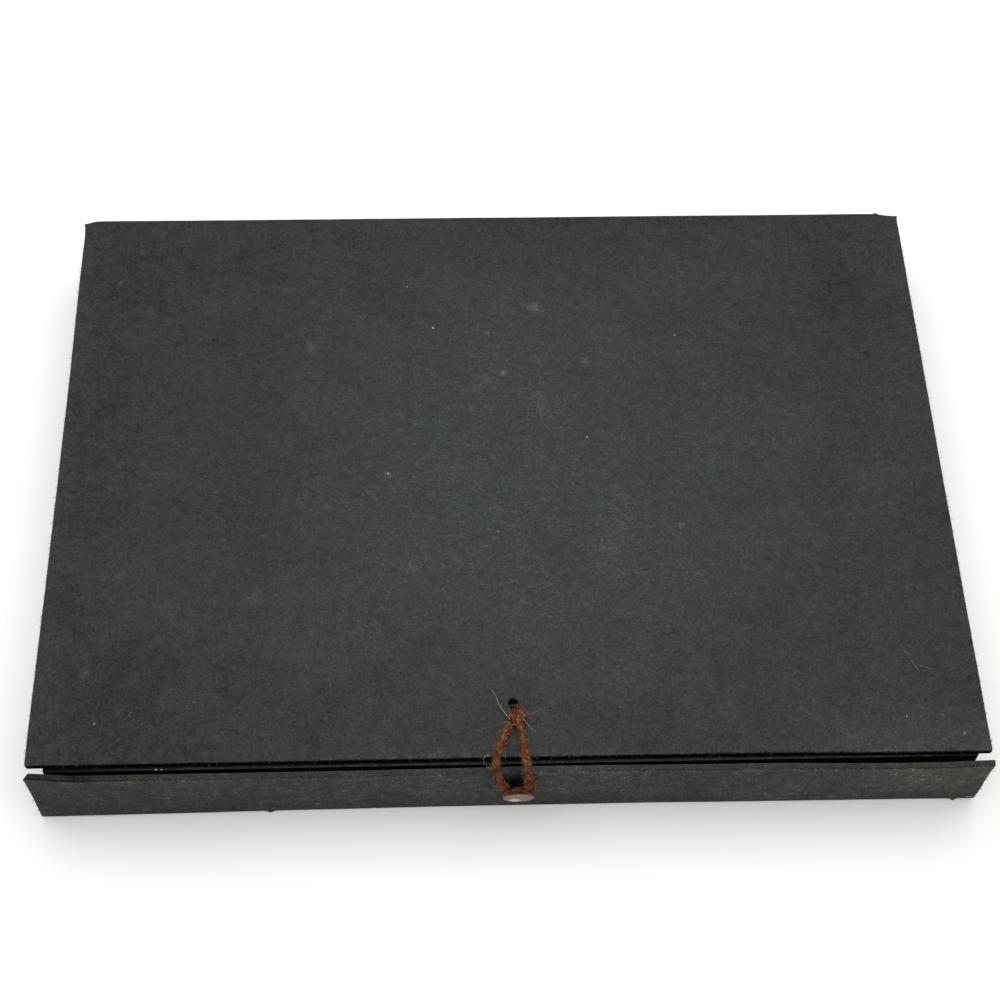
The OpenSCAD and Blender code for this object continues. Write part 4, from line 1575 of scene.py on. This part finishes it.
# %% [markdown]
# ## The tray's paper
#
# The tray's four walls are wrapped in one strip of paper that goes over the rim and down inside. Its
# section is a line with two round turns at the rim, and the section goes round the tray like a ring,
# drawn in a little more for each step inwards.

# %% Tray wrap
tray_low, tray_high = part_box("tray_wrap")
lining_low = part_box("tray_lining")[0]
WALL_T = 2.3 * MM
RIM_R = 0.22 * MM
TRAY_CORNER_R = 0.4 * MM
TRAY_STEP = 4 * MM
# A stretch between two ring points that is longer than this is a wall and not part of a corner
SHORTEST_WALL = 20 * MM


def tray_ring(inset):
    """The tray's outline in plan, drawn in by an inset, with round corners."""
    radius = max(TRAY_CORNER_R - inset, 0.12 * MM)
    left, right = tray_low.x + inset, tray_high.x - inset
    front, back = tray_low.y + inset, tray_high.y - inset
    turns = [(right, back, 0), (left, back, 1), (left, front, 2), (right, front, 3)]
    ring = []
    for x, y, quarter in turns:
        cx = x - radius if x == right else x + radius
        cy = y - radius if y == back else y + radius
        for k in range(5):
            w = (quarter + k / 4) * math.pi / 2
            ring.append((cx + radius * math.cos(w), cy + radius * math.sin(w)))
    full = []
    for (x1, y1), (x2, y2) in zip(ring, ring[1:] + ring[:1]):
        length = tray_high.y - tray_low.y
        if abs(x2 - x1) > abs(y2 - y1):
            length = tray_high.x - tray_low.x
        parts = 1
        if math.hypot(x2 - x1, y2 - y1) > SHORTEST_WALL:
            parts = round(length / TRAY_STEP)
        full += [(x1 + (x2 - x1) * k / parts, y1 + (y2 - y1) * k / parts) for k in range(parts)]
    return np.array(full)


rim = tray_high.z
section = [(0, tray_low.z), (0, rim - 6 * MM), (0, rim - 2 * MM)]
section += [(RIM_R * (1 - math.cos(w)), rim - RIM_R * (1 - math.sin(w))) for w in (0, *ARC_STEPS)]
section += [(WALL_T / 2, rim)]
section += [
    (WALL_T - RIM_R * (1 - math.sin(w)), rim - RIM_R * (1 - math.cos(w))) for w in (0, *ARC_STEPS)
]
section += [(WALL_T, rim - 2 * MM), (WALL_T, lining_low.z)]
rows, unlit, rubbed_and_lit = [], [], []
for inset, z in section:
    ring = tray_ring(inset)
    sway = bumps(ring[:, 0], ring[:, 1] + z)
    rows.append(np.column_stack([ring, z + sway * (z > rim - 1 * MM)]))
    # The tray's walls and the ends of its rim are painted near black as painted shade, and the rim's outer edge is
    # painted paler as painted light that falls in past the lid's edge
    ends = np.clip((np.abs(ring[:, 0]) / MM - 92) / 22, 0, 1)
    outer_edge = z > rim - 0.1 * MM and inset < RIM_R * 1.01
    unlit.append(0.7 * ends if outer_edge else np.full(len(ring), 0.9))
    rubbed_and_lit.append(np.full(len(ring), 0.5 if outer_edge else 0.0))
tray_paper = new_object(
    "tray_paper", np.vstack(rows), ring_faces(len(rows), len(rows[0]), capped=False),
    {"fresh": np.concatenate(unlit), "worn": np.concatenate(rubbed_and_lit)},
)
add_thickness(tray_paper)
settle(tray_paper, cover_paper)
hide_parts("tray_wrap")
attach(tray_paper, "case")
print("tray paper, triangles:", count(tray_paper))

# %% [markdown]
# ## The wooden button
#
# The button is a slice of a twig with its bark on, about as wide as a pencil, held by a dark peg that
# goes through the flap. A plain cylinder would look machined, so the slice is turned as rings whose
# radius wavers a little, with a soft rim. The cut face shows pale end grain with growth rings round
# the pith, and the bark is brown.

# %% Button materials
# A paler patch low on the face, from its middle
PALE_PATCH = HEAD_CENTRE + HEAD_AXIS * HEAD_T / 2 - HEAD_SIDE * 0.9 * MM - HEAD_UP * 2.0 * MM
PALE_PATCH_R = 2.0 * MM


def cut_wood():
    """End grain of a twig: pale pinkish grey, fine rings, a paler patch, with brown bark round it."""
    material, tree, shader = new_material("cut_twig_wood", Roughness=0.5, IOR=1.5)
    place = add(tree, "ShaderNodeTexCoord")["Object"]
    local = add(tree, "ShaderNodeVectorMath", {0: place, 1: HEAD_CENTRE}, operation="SUBTRACT")
    far = add(tree, "ShaderNodeVectorMath", {0: local[0]}, operation="LENGTH")
    wobble = add(tree, "ShaderNodeTexNoise", {"Vector": place, "Scale": per_mm(1.8), "Detail": 2})
    fine = add(tree, "ShaderNodeTexNoise", {"Vector": place, "Scale": per_mm(0.25), "Detail": 2})
    # Growth rings of this twig are about half a millimetre apart
    turns = total(tree, 0.0, (far["Value"], 2 * math.pi * per_mm(0.55)), (wobble["Fac"], 5.0))
    rings = add(tree, "ShaderNodeMath", {0: turns}, operation="SINE")
    near = add(tree, "ShaderNodeVectorMath", {0: place, 1: PALE_PATCH}, operation="DISTANCE")
    pale_patch = add(
        tree, "ShaderNodeMapRange",
        {"Value": near["Value"], "From Min": 0.4 * PALE_PATCH_R, "From Max": PALE_PATCH_R,
         "To Min": 1.0, "To Max": 0.0},
        interpolation_type="SMOOTHSTEP",
    )
    tone = total(
        tree, -0.15, (wobble["Fac"], 0.5), (fine["Fac"], 0.6),
        (rings[0], 0.07), (pale_patch[0], 0.6),
    )
    face = add(
        tree, "ShaderNodeValToRGB", {"Fac": tone},
        stops=[(0.1, "50382A"), (1.0, "DAC4B2"), (0.45, "82624E")],
    )
    bark = add(tree, "ShaderNodeAttribute", attribute_name="bark")["Fac"]
    colour = add(
        tree, "ShaderNodeMix",
        {"Factor": bark, MIX_A: face["Color"], MIX_B: linear("4A2614")}, data_type="RGBA",
    )
    coat(tree, shader, colour[MIX_COLOUR], fine["Fac"], 0.35, 0.06 * MM)
    return material


def peg_wood():
    """Dark twig wood: brown-black, with grain along the peg; its near black is partly the wood's own colour and
    partly painted shade of the recess behind the button.
    """
    material, tree, shader = new_material(
        "dark_twig_wood", Roughness=0.8, IOR=1.5, Specular_IOR_Level=0.15
    )
    place = add(tree, "ShaderNodeTexCoord")["Object"]
    lay = add(
        tree, "ShaderNodeMapping",
        {"Vector": place, "Scale": (per_mm(0.35), per_mm(2.5), per_mm(0.35))},
    )
    grain = add(tree, "ShaderNodeTexNoise", {"Vector": lay[0], "Scale": 1.0, "Detail": 3})
    colour = add(
        tree, "ShaderNodeValToRGB", {"Fac": grain["Fac"]},
        stops=[(0.25, "080403"), (0.75, "170C08")],
    )
    coat(tree, shader, colour["Color"], grain["Fac"], 0.4, 0.06 * MM)
    return material


pale_wood = cut_wood()
dark_wood = peg_wood()
print("button is millimetres across:", round(2 * HEAD_R / MM, 1))


# %% Button, peg and washer
TURN_STEPS = 48


def turned(name, centre, axis, section, waver, seed, bark):
    """Rings of (radius, height) round an axis, with a radius that wavers as natural wood does."""
    side = Vector((1, 0, 0))
    other = axis.cross(side)
    points, values = [], []
    for (radius, height), bark_share in zip(section, bark):
        for w in 2 * math.pi * np.arange(TURN_STEPS) / TURN_STEPS:
            c, s = math.cos(w), math.sin(w)
            swell = noise.noise(Vector((c, s, seed)))
            swell += 0.35 * noise.noise(Vector((4 * c, 4 * s, seed + height / MM)))
            r = radius * (1 + waver * swell)
            points.append(centre + side * r * c + other * r * s + axis * height)
            values.append(bark_share)
    piece = new_object(name, points, ring_faces(len(section), TURN_STEPS), {"bark": values})
    face_outward(piece)
    return piece


back, front = -HEAD_T / 2, HEAD_T / 2
head_section = [
    (HEAD_R * 0.5, back), (HEAD_R * 0.93, back), (HEAD_R * 0.985, back + 0.12 * MM),
    (HEAD_R, back + 0.35 * MM), (HEAD_R, front - 0.4 * MM), (HEAD_R * 0.985, front - 0.14 * MM),
    (HEAD_R * 0.95, front), (HEAD_R * 0.75, front + 0.03 * MM), (HEAD_R * 0.4, front + 0.04 * MM),
    (HEAD_R * 0.08, front + 0.02 * MM),
]
button_head = turned(
    "button_slice", HEAD_CENTRE, HEAD_AXIS, head_section, 0.025, 3.0,
    bark=[0.3, 0.8, 1, 1, 1, 0.9, 0.1, 0, 0, 0.3],
)
settle(button_head, pale_wood)
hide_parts("button_head")
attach(button_head, "flap")
for name in ("button_post", "button_washer"):
    for slot in frame["nodes"][name].material_slots:
        slot.material = dark_wood if name == "button_post" else pale_wood
print("button, triangles:", count(button_head))

# %% [markdown]
# ## Frayed edges
#
# The paper's folded edges are scuffed, so the same fibre tree grows a thin fringe of short black
# fibres along them. They are too small to see one by one from a step away, but they take the hard
# line off the outline.

# %% Fringe on the paper
edge_fibre, edge_tree, edge_shader = new_material("scuffed_paper_fibre", Roughness=0.9, IOR=1.45)
edge_tone = add(edge_tree, "ShaderNodeAttribute", attribute_name="tone")["Fac"]
edge_colour = add(
    edge_tree, "ShaderNodeValToRGB", {"Fac": edge_tone}, stops=[(0.0, "1E1E1F"), (1.0, "5A5853")]
)
edge_tree.links.new(edge_colour["Color"], edge_shader.inputs["Base Color"])
for host, body, seed in ((lid_paper, "lid", 41), (flap_paper, "flap", 42)):
    fringe = grow_fibres(
        host, host.name + "_fringe", edge_fibre,
        2.2 * PER_MM2, (0.25 * MM, 0.9 * MM), 0.045, 0.6, 0.9, seed,
    )
    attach(fringe, body)
    print(host.name, "fringe, triangles:", count(fringe))

# %% [markdown]
# ## Floor and light
#
# The box stands on a plain pale floor in the light of a bright, overcast room: it comes from all
# sides, so the only shadow is the soft grey one close to the box. An even white world does this by
# itself, and one large lamp overhead adds a little direction for the grain. The floor is made white
# to the camera with a small emission, and keeps its shadow.

# %% Floor
FLOOR_HALF = 1.5
FLOOR_GLOW = 0.15
# The flap's lower edge rolls a little below the base when it is let down, so the floor leaves room
FLOOR_Z = -0.45 * MM
floor_corners = [
    (x * FLOOR_HALF, y * FLOOR_HALF, FLOOR_Z) for x, y in ((-1, -1), (1, -1), (1, 1), (-1, 1))
]
floor = new_object("floor", floor_corners, [(0, 1, 2, 3)])
floor_paint, tree, shader = new_material("pale_floor", Roughness=0.9, Specular_IOR_Level=0.1)
place = add(tree, "ShaderNodeTexCoord")["Object"]
dapple = add(tree, "ShaderNodeTexNoise", {"Vector": place, "Scale": per_mm(40), "Detail": 3})
colour = add(
    tree, "ShaderNodeValToRGB", {"Fac": dapple["Fac"]},
    stops=[(0.3, "F4F6F3"), (0.7, "F7F8F5")],
)
seen = add(tree, "ShaderNodeLightPath")["Is Camera Ray"]
lift = add(tree, "ShaderNodeMath", {0: seen, 1: FLOOR_GLOW}, operation="MULTIPLY")
tree.links.new(colour["Color"], shader.inputs["Base Color"])
shader.inputs["Emission Color"].default_value = (1, 1, 1, 1)
tree.links.new(lift[0], shader.inputs["Emission Strength"])
floor.data.materials.append(floor_paint)

# %% Light
WORLD_LEVEL = 0.5
LAMP_PLACE = Vector((0.0, 0.1, 0.9))
LAMP_SIZE = 1.5
LAMP_WATTS = 8.2
world = bpy.data.worlds.new("bright_room")
scene.world = world
world.use_nodes = True
sky = world.node_tree.nodes["Background"].inputs
sky["Color"].default_value = linear("FDFEFF")
sky["Strength"].default_value = WORLD_LEVEL
lamp = bpy.data.objects.new("window", bpy.data.lights.new("window", "AREA"))
scene.collection.objects.link(lamp)
lamp.data.shape = "DISK"
lamp.data.size = LAMP_SIZE
lamp.data.energy = LAMP_WATTS
lamp.location = LAMP_PLACE
lamp.rotation_euler = (-LAMP_PLACE).to_track_quat("-Z", "Y").to_euler()
scene.view_settings.view_transform = "Standard"
print("floor and light are set")
